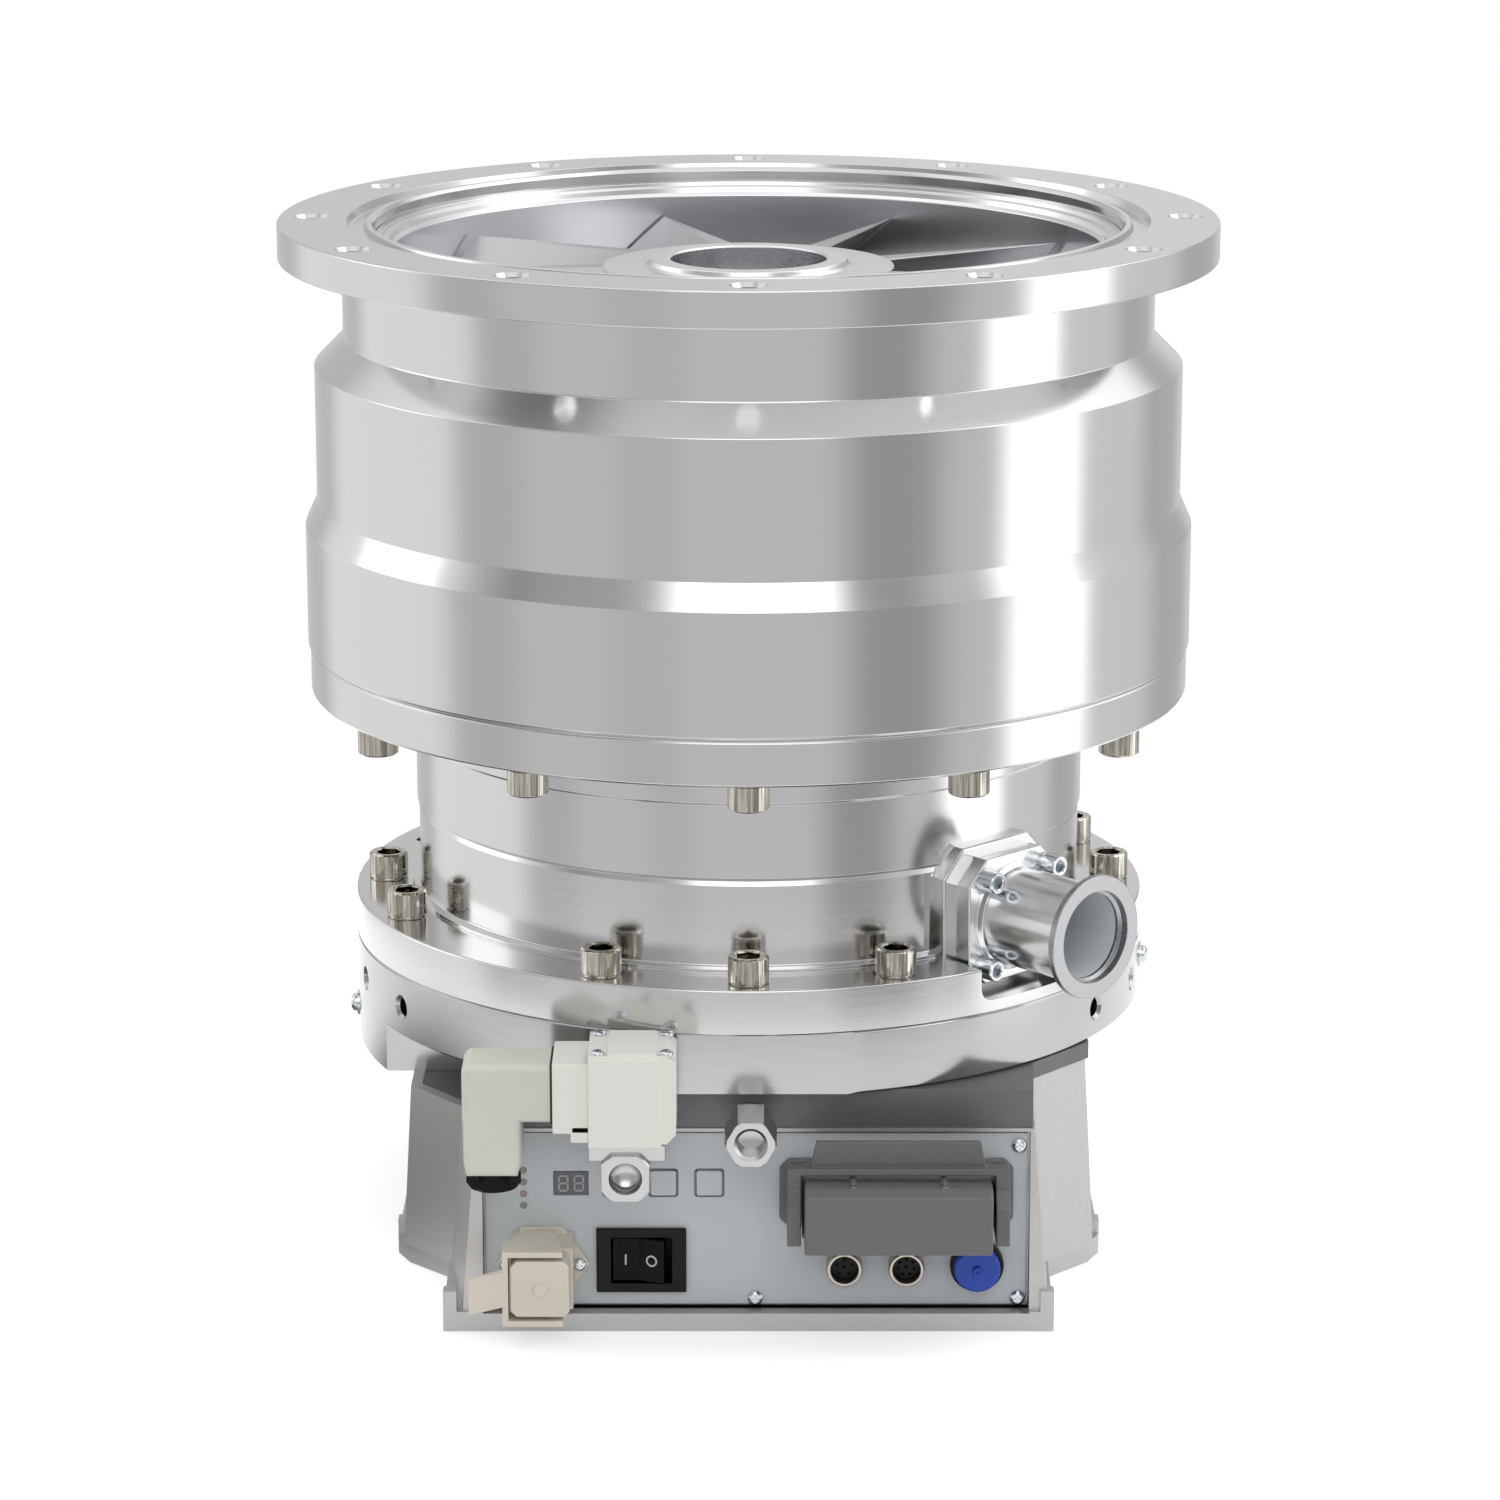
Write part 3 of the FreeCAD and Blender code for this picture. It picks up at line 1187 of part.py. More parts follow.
def subparts():
    parts = {
        "inlet_flange": inlet_flange(),
        "inlet_casing": inlet_casing(),
        "spacer_sleeve": spacer_sleeve(),
        "stator_top_row": stator_row(*STATOR_ROWS[0]),
        "stator_lower_row": stator_row(*STATOR_ROWS[1]),
        "casing_screws": casing_screws(),
        "spool_flange": spool_flange(),
        "drag_housing": drag_housing(),
        "neck_flange": neck_flange(),
        "base_screws": base_screws(),
        "base_block": base_block(),
        "exhaust_port": exhaust_port(),
        "rotor": rotor(),
        "rotor_top_row": rotor_top_row(),
        "rotor_lower_row": rotor_lower_row(),
        "shaft": shaft(),
        "clamp_screw": clamp_screw(),
        "upper_radial_magnet": laminated_stack(MAGNET_POLES, UPPER_MAGNET_Z, MAGNET_LENGTH),
        "lower_radial_magnet": laminated_stack(MAGNET_POLES, LOWER_MAGNET_Z, MAGNET_LENGTH),
        "motor_stator": laminated_stack(MOTOR_POLES, MOTOR_Z, MOTOR_LENGTH),
        "thrust_magnet": thrust_magnet(),
        "touchdown_bearings": touchdown_bearings(),
        "controller_housing": controller_housing(),
        "controller_lid": controller_lid(),
        "bottom_plate": bottom_plate(),
        "power_board": power_board(),
        "front_panel": front_panel(),
        "key_board": key_board(),
        "lamps": lamps(),
        "display": display(),
        "switch_bezel": switch_bezel(),
        "switch_rocker": rocker(),
        "power_connector": power_connector(),
        "power_cap": power_cap(),
        "power_lever": power_lever(),
        "signal_connector": signal_connector(),
        "signal_cover": signal_cover(),
        "signal_lever": signal_lever(),
        "socket_shells": socket_shells(),
        "socket_inserts": socket_inserts(),
        "service_port": service_port(),
        "service_cap": service_cap(),
        "purge_fitting": purge_fitting(),
        "vent_coil": vent_coil(),
        "plug_gasket": plug_gasket(),
        "angle_plug": angle_plug(),
        "gland_nut": gland_nut(),
        "valve_body": valve_body(),
    }
    for index in range(len(KEY_XS)):
        parts["panel_key_%d" % (index + 1)] = panel_key(index)
    return parts


os.makedirs("parts", exist_ok=True)
for name, shape in subparts().items():
    if isinstance(shape, list):
        shape = Part.makeCompound(shape)
    solids = shape.Solids
    if not solids or not all(solid.isValid() for solid in solids):
        raise RuntimeError(name + " has no valid solid")
    shape.exportStep("parts/" + name + ".step")
    print("%-22s solids %3d  volume %10.0f mm3" % (name, len(solids), shape.Volume))
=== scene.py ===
# %% [markdown]
# # A turbomolecular pump with a built-in controller
# The pump is a stack of turned steel rings on a round base block, which stands on a cast housing
# with a front panel. The CAD frame gives every piece its place. This lesson dresses the frame in
# smooth turned surfaces, soft edges, screws and finishes. Every length is in millimetres until the
# mesh is written, because the drawings of such a machine are in millimetres too.

import math

import bmesh
import bpy
import numpy as np
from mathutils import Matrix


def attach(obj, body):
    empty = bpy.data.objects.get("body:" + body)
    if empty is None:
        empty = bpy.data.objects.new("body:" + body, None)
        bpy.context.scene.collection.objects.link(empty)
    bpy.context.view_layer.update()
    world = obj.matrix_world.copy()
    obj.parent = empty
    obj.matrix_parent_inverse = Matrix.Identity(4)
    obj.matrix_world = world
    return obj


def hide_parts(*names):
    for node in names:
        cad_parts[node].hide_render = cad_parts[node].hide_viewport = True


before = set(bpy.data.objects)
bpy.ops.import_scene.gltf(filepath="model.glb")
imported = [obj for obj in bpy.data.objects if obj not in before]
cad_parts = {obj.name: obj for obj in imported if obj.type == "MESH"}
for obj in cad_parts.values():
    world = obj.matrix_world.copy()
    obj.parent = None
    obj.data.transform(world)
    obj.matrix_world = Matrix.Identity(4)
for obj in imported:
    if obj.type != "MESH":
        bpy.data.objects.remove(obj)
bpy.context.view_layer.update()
scene = bpy.context.scene
MM = 0.001

# %% [markdown]
# ## Camera
# The photograph was taken from a little above the pump with a long lens. A long lens keeps upright
# walls nearly parallel. The place and tilt come from where the round flanges sit in the photograph:
# a circle seen from above becomes an ellipse, and its height over its width gives the tilt.

# %% Camera
CAMERA_PLACE = (0.66, -2214.1, 788.8)
CAMERA_TILT = 14.434
CAMERA_LENS = 118.13

camera_data = bpy.data.cameras.new("camera")
camera_data.lens = CAMERA_LENS
camera = bpy.data.objects.new("camera", camera_data)
camera.location = [MM * value for value in CAMERA_PLACE]
camera.rotation_euler = (math.radians(90 - CAMERA_TILT), 0, 0)
scene.collection.objects.link(camera)
scene.camera = camera
scene.view_settings.view_transform = "Standard"
print("camera at", tuple(round(value, 3) for value in camera.location))

# %% [markdown]
# ## One helper for nodes
# Materials and the studio are both node trees. One small function adds a node, sets what it is told
# and links its inputs, so that each finish below reads as a short list of what it is made of.


# %% Node helper and colours
def add(tree, kind, inputs=None, **settings):
    """Add a node of this kind; inputs maps a socket's name or number to a value or to a socket to link."""
    node = tree.nodes.new(kind)
    for key, value in settings.items():
        setattr(node, key, value)
    for key, value in (inputs or {}).items():
        if isinstance(value, bpy.types.NodeSocket):
            tree.links.new(value, node.inputs[key])
        else:
            node.inputs[key].default_value = value
    return node


def colour(code):
    """Linear colour of an sRGB hex code: each channel goes through the standard sRGB curve."""
    channel = np.array([int(code[k:k + 2], 16) for k in (0, 2, 4)]) / 255
    linear = np.where(channel <= 0.04045, channel / 12.92, ((channel + 0.055) / 1.055) ** 2.4)
    return (*linear.tolist(), 1.0)


# %% [markdown]
# ## Studio
# Bare metal has hardly a colour of its own: it shows the room. A product studio is a pale room with
# a few large soft boxes and dark flags between them, and on a turned wall they become upright bright
# and dark bands. A ring of lamps could make those bands, but a world that depends only on the
# direction is cheaper and has no visible edge. Each soft box below is a smooth bump over its compass
# angle, which is 0 towards the camera and positive to the right, and over its height above the horizon.
# A negative gain makes a dark flag. The camera sees the room as plain white, and so does what looks
# through a clear piece.

# %% Studio world
ROOM_LEVEL = 0.69
SOFT_BOXES = [
    # name, then compass angle, half width, soft edge, height, half height, soft edge, gain
    ("left wall", -112, 22, 14, 0, 90, 10, 0.29),
    ("left back flag", -152, 6, 16, 0, 60, 10, -0.08),
    ("left seam", -71, 5, 10, 0, 90, 10, -0.10),
    ("front left flag", -26, 3, 10, 0, 40, 20, -0.07),
    ("front right flag", 38, 5, 14, 0, 40, 20, -0.29),
    ("right soft box", 83, 8, 10, 0, 70, 20, 1.15),
    ("right back wall", 104, 12, 20, 0, 90, 10, 0.10),
    ("right back flag", 142, 8, 14, 0, 60, 10, -0.16),
    ("back wall", 180, 14, 20, 18, 14, 12, 0.08),
    ("front top box", 2, 16, 14, 36, 9, 10, 1.5),
    ("left high box", -105, 11, 6, 17, 6, 9, 1.1),
    ("left top flag", -52, 12, 16, 36, 12, 14, -0.24),
    ("right top box", 122, 18, 14, 38, 10, 12, 0.9),
]
CEILING_GAIN = 0.42
FLOOR_SIDE_GAIN = 0.14

world = bpy.data.worlds.new("studio")
world.use_nodes = True
scene.world = world
room = world.node_tree
room.nodes.clear()
look = add(room, "ShaderNodeTexCoord").outputs["Generated"]
split = add(room, "ShaderNodeSeparateXYZ", {0: look})
ahead = add(room, "ShaderNodeMath", {0: split.outputs["Y"], 1: -1.0}, operation="MULTIPLY").outputs[0]
compass = add(room, "ShaderNodeMath", {0: split.outputs["X"], 1: ahead}, operation="ARCTAN2").outputs[0]
height = add(room, "ShaderNodeMath", {0: split.outputs["Z"]}, operation="ARCSINE").outputs[0]


def fall_off(angle, centre, half, edge, gain):
    """gain within half of the centre, falling smoothly to 0 over the soft edge; all angles in degrees."""
    apart = add(room, "ShaderNodeMath", {0: angle, 1: math.radians(centre)}, operation="SUBTRACT").outputs[0]
    apart = add(room, "ShaderNodeMath", {0: apart}, operation="ABSOLUTE").outputs[0]
    ramp = {"Value": apart, "From Min": math.radians(half), "From Max": math.radians(half + edge),
            "To Min": gain, "To Max": 0.0}
    return add(room, "ShaderNodeMapRange", ramp, interpolation_type="SMOOTHSTEP").outputs[0]


level = add(room, "ShaderNodeMapRange", {"Value": height, "From Min": 0.5, "From Max": 1.2,
                                         "To Min": ROOM_LEVEL, "To Max": ROOM_LEVEL + CEILING_GAIN},
            interpolation_type="SMOOTHSTEP").outputs[0]
low = add(room, "ShaderNodeMapRange", {"Value": height, "From Min": -0.5, "From Max": -1.2,
                                       "To Min": 0.0, "To Max": FLOOR_SIDE_GAIN},
          interpolation_type="SMOOTHSTEP").outputs[0]
level = add(room, "ShaderNodeMath", {0: level, 1: low}, operation="ADD").outputs[0]
for _, centre, half, edge, rise, half_rise, edge_rise, gain in SOFT_BOXES:
    across = fall_off(compass, centre, half, edge, gain)
    upright = fall_off(height, rise, half_rise, edge_rise, 1.0)
    level = add(room, "ShaderNodeMath", {0: across, 1: upright, 2: level},
                operation="MULTIPLY_ADD").outputs[0]
light = add(room, "ShaderNodeBackground", {"Color": (1, 1, 1, 1), "Strength": level})
backdrop = add(room, "ShaderNodeBackground", {"Color": (1, 1, 1, 1), "Strength": 1.0})
seen = add(room, "ShaderNodeLightPath")
direct = add(room, "ShaderNodeMath", {0: seen.outputs["Is Camera Ray"],
                                      1: seen.outputs["Is Transmission Ray"]}, operation="MAXIMUM").outputs[0]
mixed = add(room, "ShaderNodeMixShader", {0: direct, 1: light.outputs[0], 2: backdrop.outputs[0]})
add(room, "ShaderNodeOutputWorld", {"Surface": mixed.outputs[0]})
print("soft boxes and flags:", len(SOFT_BOXES))

# %% [markdown]
# ## Shapes as arrays
# Nearly every piece here is turned on a lathe or is a plate with rounded edges. Both are surfaces
# over two parameters, so numpy can work them out as whole arrays. A shape is kept as three arrays:
# its points, the point numbers of all faces in a row, and the number of points of each face.
# That form is easy to turn, repeat and join before Blender makes a mesh of it.


# %% Outlines with rounded corners
def rounded(corners, steps=4):
    """Closed outline of (a, b, radius) corners; an arc that touches both sides replaces each corner."""
    table = np.array([(*corner, 0.0)[:3] for corner in corners], float)
    spots = table[:, :2]
    runs = []
    for k, radius in enumerate(table[:, 2]):
        to_last, to_next = spots[k - 1] - spots[k], spots[(k + 1) % len(spots)] - spots[k]
        reach = 0.49 * min(np.linalg.norm(to_last), np.linalg.norm(to_next))
        to_last, to_next = to_last / np.linalg.norm(to_last), to_next / np.linalg.norm(to_next)
        half = math.acos(np.clip(to_last @ to_next, -1, 1)) / 2
        if radius == 0 or half > 1.565:
            runs.append(spots[k:k + 1])
            continue
        cut = min(radius / math.tan(half), reach)
        radius = cut * math.tan(half)
        middle = to_last + to_next
        centre = spots[k] + middle / np.linalg.norm(middle) * radius / math.sin(half)
        first, last = spots[k] + to_last * cut - centre, spots[k] + to_next * cut - centre
        sweep = math.pi - 2 * half
        share = np.linspace(0, 1, steps + 1)[:, None]
        arc = (np.sin((1 - share) * sweep) * first + np.sin(share * sweep) * last) / math.sin(sweep)
        runs.append(centre + arc)
    return np.vstack(runs)


def woven(rows, columns, wrap_rows=True, wrap_columns=True):
    """Quads between neighbours of a grid of points, as a flat array of point numbers."""
    i = np.arange(rows if wrap_rows else rows - 1)[:, None]
    j = np.arange(columns if wrap_columns else columns - 1)[None, :]
    i2, j2 = (i + 1) % rows, (j + 1) % columns
    return np.stack([i * columns + j, i2 * columns + j, i2 * columns + j2, i * columns + j2], -1).ravel()


# %% Turned pieces
def across_flats(angles, sides, flats):
    """Distance from the centre to a regular polygon's side in each direction."""
    step = 2 * math.pi / sides
    return flats / 2 / np.cos((angles + step / 2) % step - step / 2)


def turned(corners, turns=240, steps=4, sides=0, flats=0.0, key=False, ridges=0, ridge_depth=0.0):
    """Surface of revolution: point(angle, s) = (r(s) cos angle, r(s) sin angle, z(s)).

    With sides, the radius is at most that of a polygon; with key, only inside the polygon's corners.
    With ridges, the widest radius is lowered by ridge_depth at every second step of the angle.
    """
    line = rounded(corners, steps)
    angle = np.linspace(0, 2 * math.pi, turns, endpoint=False)[:, None]
    radius = np.broadcast_to(line[:, 0], (turns, len(line))).copy()
    if sides:
        limit = np.broadcast_to(across_flats(angle, sides, flats), radius.shape)
        reach = flats / 2 / math.cos(math.pi / sides) + 1e-4
        radius = np.where((radius <= reach) | (not key), np.minimum(radius, limit), radius)
    if ridges:
        wide = line[:, 0] > line[:, 0].max() - 0.02
        radius -= wide * ridge_depth * (0.5 - 0.5 * np.cos(ridges * angle))
    points = np.stack([radius * np.cos(angle), radius * np.sin(angle),
                       np.broadcast_to(line[:, 1], radius.shape)], -1).reshape(-1, 3)
    loops = woven(turns, len(line), True, line[:, 0].min() > 1e-6)
    return points, loops, np.full(len(loops) // 4, 4)


# %% Plates with soft rims
def slab(corners, z0, z1, edge=0.5, foot_edge=0.0, steps=3):
    """Plate over an outline; near each face the outline moves inwards along its normals by a quarter arc."""
    ring = rounded(corners, 5)
    area = (ring[:, 0] * np.roll(ring[:, 1], -1) - np.roll(ring[:, 0], -1) * ring[:, 1]).sum()
    ring = ring if area > 0 else ring[::-1]
    along = np.roll(ring, -1, 0) - ring
    along /= np.linalg.norm(along, axis=1)[:, None]
    before = np.roll(along, 1, 0)
    normal = np.stack([along[:, 1] + before[:, 1], -along[:, 0] - before[:, 0]], -1)
    normal /= np.maximum((normal ** 2).sum(1) / 2, 0.05)[:, None]
    share = np.linspace(0, math.pi / 2, steps + 1)
    foot = [(foot_edge * (1 - math.sin(a)), z0 + foot_edge * (1 - math.cos(a))) for a in share]
    top = [(edge * (1 - math.sin(a)), z1 - edge * (1 - math.cos(a))) for a in share[::-1]]
    layers = (foot if foot_edge else [(0.0, z0)]) + (top if edge else [(0.0, z1)])
    points = np.vstack([np.column_stack([ring - normal * inset, np.full(len(ring), z)])
                        for inset, z in layers])
    count = len(ring)
    sides = woven(len(layers), count, False, True).reshape(-1, 4)[:, ::-1].ravel()
    last = (len(layers) - 1) * count + np.arange(count)
    loops = np.concatenate([sides, np.arange(count)[::-1], last])
    return points, loops, np.concatenate([np.full(len(sides) // 4, 4), [count, count]])


def oblong(half_w, half_h, corner=0.0, x=0.0, y=0.0):
    """Corner list of a rectangle about (x, y)."""
    return [(x - half_w, y - half_h, corner), (x + half_w, y - half_h, corner),
            (x + half_w, y + half_h, corner), (x - half_w, y + half_h, corner)]


def cut_square(half, cut, soft=0.0):
    """Corner list of a square whose corners are cut off."""
    near = half - cut
    return [(-half, -near, soft), (-near, -half, soft), (near, -half, soft), (half, -near, soft),
            (half, near, soft), (near, half, soft), (-near, half, soft), (-half, near, soft)]


# %% Moving, repeating and joining shapes
def joined(shapes):
    """One shape from several: the point numbers of each go up by the points before it."""
    starts = np.cumsum([0] + [len(shape[0]) for shape in shapes[:-1]])
    return (np.vstack([shape[0] for shape in shapes]),
            np.concatenate([shape[1] + start for shape, start in zip(shapes, starts)]),
            np.concatenate([shape[2] for shape in shapes]))


def moved(shape, shift=(0, 0, 0), turn=None):
    """Turn a shape by a 3 by 3 matrix, then shift it."""
    points = shape[0] if turn is None else shape[0] @ np.asarray(turn, float).T
    return points + np.asarray(shift, float), shape[1], shape[2]


def spun(degrees):
    """Matrix that turns about the rotor axis."""
    a = math.radians(degrees)
    return np.array([[math.cos(a), -math.sin(a), 0], [math.sin(a), math.cos(a), 0], [0, 0, 1]])


def outwards(azimuth=0.0):
    """Matrix that stands a shape's own z on the wall that faces this azimuth, with its own y upright."""
    return spun(azimuth) @ np.array([[1, 0, 0], [0, 0, -1], [0, 1, 0]])


def around(shape, radius, azimuths, height=0.0, pose=spun):
    """Copies of a shape on a circle, at azimuths from the front; pose gives the matrix that turns each."""
    return joined([moved(shape, spun(a) @ (0, -radius, height), pose(a)) for a in azimuths])


UPSIDE_DOWN = np.diag([1.0, -1.0, -1.0])
print("a rounded outline has", len(rounded(oblong(5, 5, 1))), "points")

# %% [markdown]
# ## From arrays to pieces
# A mesh gets its points with foreach_set, which is far quicker than one call for each point. Points
# that fall on the same spot, as at a pole, are merged, and a shell that came out inside out is
# turned. Holes in turned pieces are cut with the Boolean modifier: a grid could be woven round
# each hole, but a hole that is cut always meets its wall exactly. Weighted normals keep flat faces
# flat next to a small round edge, which is what makes machined metal look machined.


# %% Mesh, boolean and piece helpers
def to_mesh(name, shape):
    """Mesh in metres from a shape in millimetres, with its doubles merged and its faces outwards."""
    points, loops, sizes = shape
    mesh = bpy.data.meshes.new(name)
    mesh.vertices.add(len(points))
    mesh.vertices.foreach_set("co", (points * MM).astype(np.float32).ravel())
    mesh.loops.add(len(loops))
    mesh.loops.foreach_set("vertex_index", loops.astype(np.int32))
    mesh.polygons.add(len(sizes))
    mesh.polygons.foreach_set("loop_start", (np.cumsum(sizes) - sizes).astype(np.int32))
    mesh.update(calc_edges=True)
    knit = bmesh.new()
    knit.from_mesh(mesh)
    bmesh.ops.remove_doubles(knit, verts=knit.verts, dist=1e-7)
    if knit.calc_volume(signed=True) < 0:
        bmesh.ops.reverse_faces(knit, faces=knit.faces)
    knit.to_mesh(mesh)
    knit.free()
    return mesh


def carved(shape, other, operation="DIFFERENCE"):
    """Boolean of two shapes, given back as arrays."""
    pair = []
    for part in (shape, other):
        pair.append(bpy.data.objects.new("work", to_mesh("work", part)))
        scene.collection.objects.link(pair[-1])
    step = pair[0].modifiers.new("cut", "BOOLEAN")
    step.operation, step.solver, step.object = operation, "MANIFOLD", pair[1]
    result = bpy.data.meshes.new_from_object(pair[0].evaluated_get(bpy.context.evaluated_depsgraph_get()))
    points = np.empty(len(result.vertices) * 3, np.float32)
    loops = np.empty(len(result.loops), np.int32)
    sizes = np.empty(len(result.polygons), np.int32)
    result.vertices.foreach_get("co", points)
    result.loops.foreach_get("vertex_index", loops)
    result.polygons.foreach_get("loop_total", sizes)
    for item in pair:
        bpy.data.meshes.remove(item.data)
    bpy.data.meshes.remove(result)
    return points.reshape(-1, 3).astype(float) / MM, loops, sizes


def finished(obj, body, finish, stands_for, sharp):
    """Shade an object, give it its finish and its place on a body of the frame."""
    obj.data.materials.clear()
    obj.data.materials.append(finish)
    obj.data.shade_smooth()
    obj.data.set_sharp_from_angle(angle=math.radians(sharp))
    even = obj.modifiers.new("even shading", "WEIGHTED_NORMAL")
    even.keep_sharp = True
    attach(obj, body)
    if stands_for:
        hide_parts(*stands_for)
    return obj


def piece(name, shape, finish, stands_for=(), body="pump", sharp=32):
    """New piece of the object from a shape."""
    obj = bpy.data.objects.new(name, to_mesh(name, shape))
    scene.collection.objects.link(obj)
    print("%-22s %6d faces" % (name, len(obj.data.polygons)))
    return finished(obj, body, finish, stands_for, sharp)


def softened(name, node, finish, edge, body="pump", steps=3, sharp=32):
    """Copy of a CAD node with its triangles joined into flat faces and its edges rounded by a bevel."""
    obj = bpy.data.objects.new(name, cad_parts[node].data.copy())
    scene.collection.objects.link(obj)
    knit = bmesh.new()
    knit.from_mesh(obj.data)
    bmesh.ops.remove_doubles(knit, verts=knit.verts, dist=2e-6)
    bmesh.ops.dissolve_limit(knit, angle_limit=math.radians(0.4), verts=knit.verts, edges=knit.edges,
                             use_dissolve_boundaries=False)
    knit.to_mesh(obj.data)
    knit.free()
    soft = obj.modifiers.new("soft edges", "BEVEL")
    soft.width, soft.segments = edge * MM, steps
    soft.limit_method, soft.angle_limit = "ANGLE", math.radians(24)
    soft.miter_outer = "MITER_ARC"
    soft.harden_normals = True
    print("%-22s %6d faces before its edges" % (name, len(obj.data.polygons)))
    return finished(obj, body, finish, (node,), sharp)


# %% [markdown]
# ## Finishes
# Each finish starts from what the real surface is and how it was made. Turned and satin-polished
# stainless steel shows the room with a slight blur, and its fine rings run round the axis. Cast
# aluminium under grey enamel has a grain as fine as sand. Moulded plastics have hardly any grain,
# but their gloss varies a little. All patterns read Object coordinates, so they stay in real size
# on the piece, and the same small recipe covers them: a slow cloud shifts the colour, a finer one
# shifts the roughness, and a grain gives the bump.


# %% Recipe for a finish
BUMP_DEPTH = 0.2


def finish(name, code, rough, metal=0.0, shift=0.06, cloud=40.0, grain=1.0, bump=0.0, stretch=(1, 1, 1),
           rough_swing=0.03, speck=0.0, **sockets):
    """Principled surface whose colour, roughness and bump vary in sizes given in millimetres.

    cloud is the size of the slow colour shift, grain the size of the bump's grains, and stretch
    squeezes the pattern along an axis, which turns grains into lines. rough_swing is how far the
    roughness moves either way, and speck darkens the base colour in every second grain or so.
    """
    made = bpy.data.materials.new(name)
    made.use_nodes = True
    tree = made.node_tree
    tree.nodes.clear()
    place = add(tree, "ShaderNodeTexCoord").outputs["Object"]
    drawn = add(tree, "ShaderNodeMapping", {"Vector": place, "Scale": stretch}).outputs[0]
    slow = add(tree, "ShaderNodeTexNoise", {"Vector": place, "Scale": 1 / (cloud * MM), "Detail": 3.0})
    fine = add(tree, "ShaderNodeTexNoise", {"Vector": drawn, "Scale": 1 / (grain * MM), "Detail": 2.0,
                                            "Roughness": 0.6})
    base = colour(code)
    dark = [channel * (1 - shift) for channel in base[:3]] + [1.0]
    pale = [min(1.0, channel * (1 + shift)) for channel in base[:3]] + [1.0]
    tone = add(tree, "ShaderNodeMix", {"Factor": slow.outputs[0], "A": dark, "B": pale}, data_type="RGBA")
    mixed = next(socket for socket in tone.outputs if socket.type == "RGBA")
    if speck:
        deep = [channel * (1 - speck) for channel in base[:3]] + [1.0]
        spread = add(tree, "ShaderNodeMapRange", {"Value": fine.outputs[0], "From Min": 0.42,
                                                  "From Max": 0.62, "To Min": 0.0, "To Max": 1.0})
        grainy = add(tree, "ShaderNodeMix", {"Factor": spread.outputs[0], "B": deep}, data_type="RGBA")
        tree.links.new(mixed, next(s for s in grainy.inputs if s.type == "RGBA" and s.name == "A"))
        mixed = next(socket for socket in grainy.outputs if socket.type == "RGBA")
    gloss = add(tree, "ShaderNodeMapRange", {"Value": fine.outputs[0], "From Min": 0.3, "From Max": 0.7,
                                             "To Min": max(0.02, rough - rough_swing),
                                             "To Max": rough + rough_swing})
    shader = add(tree, "ShaderNodeBsdfPrincipled", {"Base Color": mixed, "Roughness": gloss.outputs[0],
                                                    "Metallic": metal})
    for key, value in sockets.items():
        shader.inputs[key.replace("_", " ")].default_value = value
    if bump:
        lift = add(tree, "ShaderNodeBump", {"Height": fine.outputs[0], "Strength": bump,
                                            "Distance": BUMP_DEPTH * MM})
        tree.links.new(lift.outputs[0], shader.inputs["Normal"])
    add(tree, "ShaderNodeOutputMaterial", {"Surface": shader.outputs[0]})
    return made


# %% Metals
# Stainless steel 1.4301, turned and satin polished: a near mirror with a soft blur
SATIN_STEEL = finish("satin_turned_steel", "D4D4D4", 0.155, 1.0, shift=0.012, cloud=90, grain=0.8,
                     stretch=(0.04, 0.04, 1.0), rough_swing=0.02, bump=0.012)
# The base block is milled and turned from thick aluminium plate, a shade darker than the steel
BASE_ALLOY = finish("turned_base_aluminium", "B3B4B4", 0.17, 1.0, shift=0.012, cloud=90, grain=0.8,
                    stretch=(0.04, 0.04, 1.0), rough_swing=0.02, bump=0.012)
# Stainless pipe and its flange, polished but a little rougher than the casing; their brighter base colour is
# painted light
PORT_STEEL = finish("pipe_steel_painted_light", "DEDFE0", 0.20, 1.0, shift=0.012, cloud=60, grain=0.8,
                    rough_swing=0.02, bump=0.008)
# Face of the clamp flange, fine turned, and the blasted inside of the pipe
CLAMP_STEEL = finish("fine_turned_clamp_face", "A8A9AA", 0.28, 1.0, shift=0.012, cloud=40, grain=0.6,
                     rough_swing=0.03, bump=0.02)
BLASTED = finish("blasted_pipe_bore", "D9DCE0", 0.55, 0.15, shift=0.02, cloud=25, grain=0.5, bump=0.03)
# Aluminium alloy of the rotor and its casing bore, turned and milled: paler and a little softer
ROTOR_ALLOY = finish("milled_aluminium", "DFE0E2", 0.26, 1.0, shift=0.015, cloud=70, grain=0.9,
                     rough_swing=0.02, bump=0.012)
# The blades are the hub's alloy, milled and a little rougher; their darker base colour is painted shade that
# tones down their reflections
SHADED_BLADE_ALLOY = finish("blade_alloy_painted_shade", "B5B6B8", 0.30, 1.0, shift=0.015, cloud=50, grain=0.7,
                     rough_swing=0.03, bump=0.015)
STATOR_ALLOY = finish("turned_aluminium_rings", "DFE0E2", 0.24, 1.0, shift=0.015, cloud=70, grain=0.9,
                      stretch=(0.04, 0.04, 1.0), rough_swing=0.02, bump=0.012)
# Nickel-plated cap screws: warm and glossy; the dark upright lines in their colour are painted reflection
# bands
NICKEL = finish("nickel_plated_screw", "D2CCC1", 0.10, 1.0, shift=0.05, cloud=6, grain=1.5,
                stretch=(1, 1, 0.05), rough_swing=0.03, speck=0.5)
# Bright zinc plate on small screws: cool, glossy, a little uneven
ZINC = finish("zinc_plated_screw", "D2D6DA", 0.14, 1.0, shift=0.05, cloud=5, grain=0.6,
              rough_swing=0.04, bump=0.02)
# Hexagon steel bar, brushed along the bar: an even grey sheen
FITTING = finish("brushed_fitting_steel", "BDBDBD", 0.22, 1.0, shift=0.02, cloud=20, grain=0.5,
                 stretch=(1.0, 0.08, 1.0), rough_swing=0.04, bump=0.02)
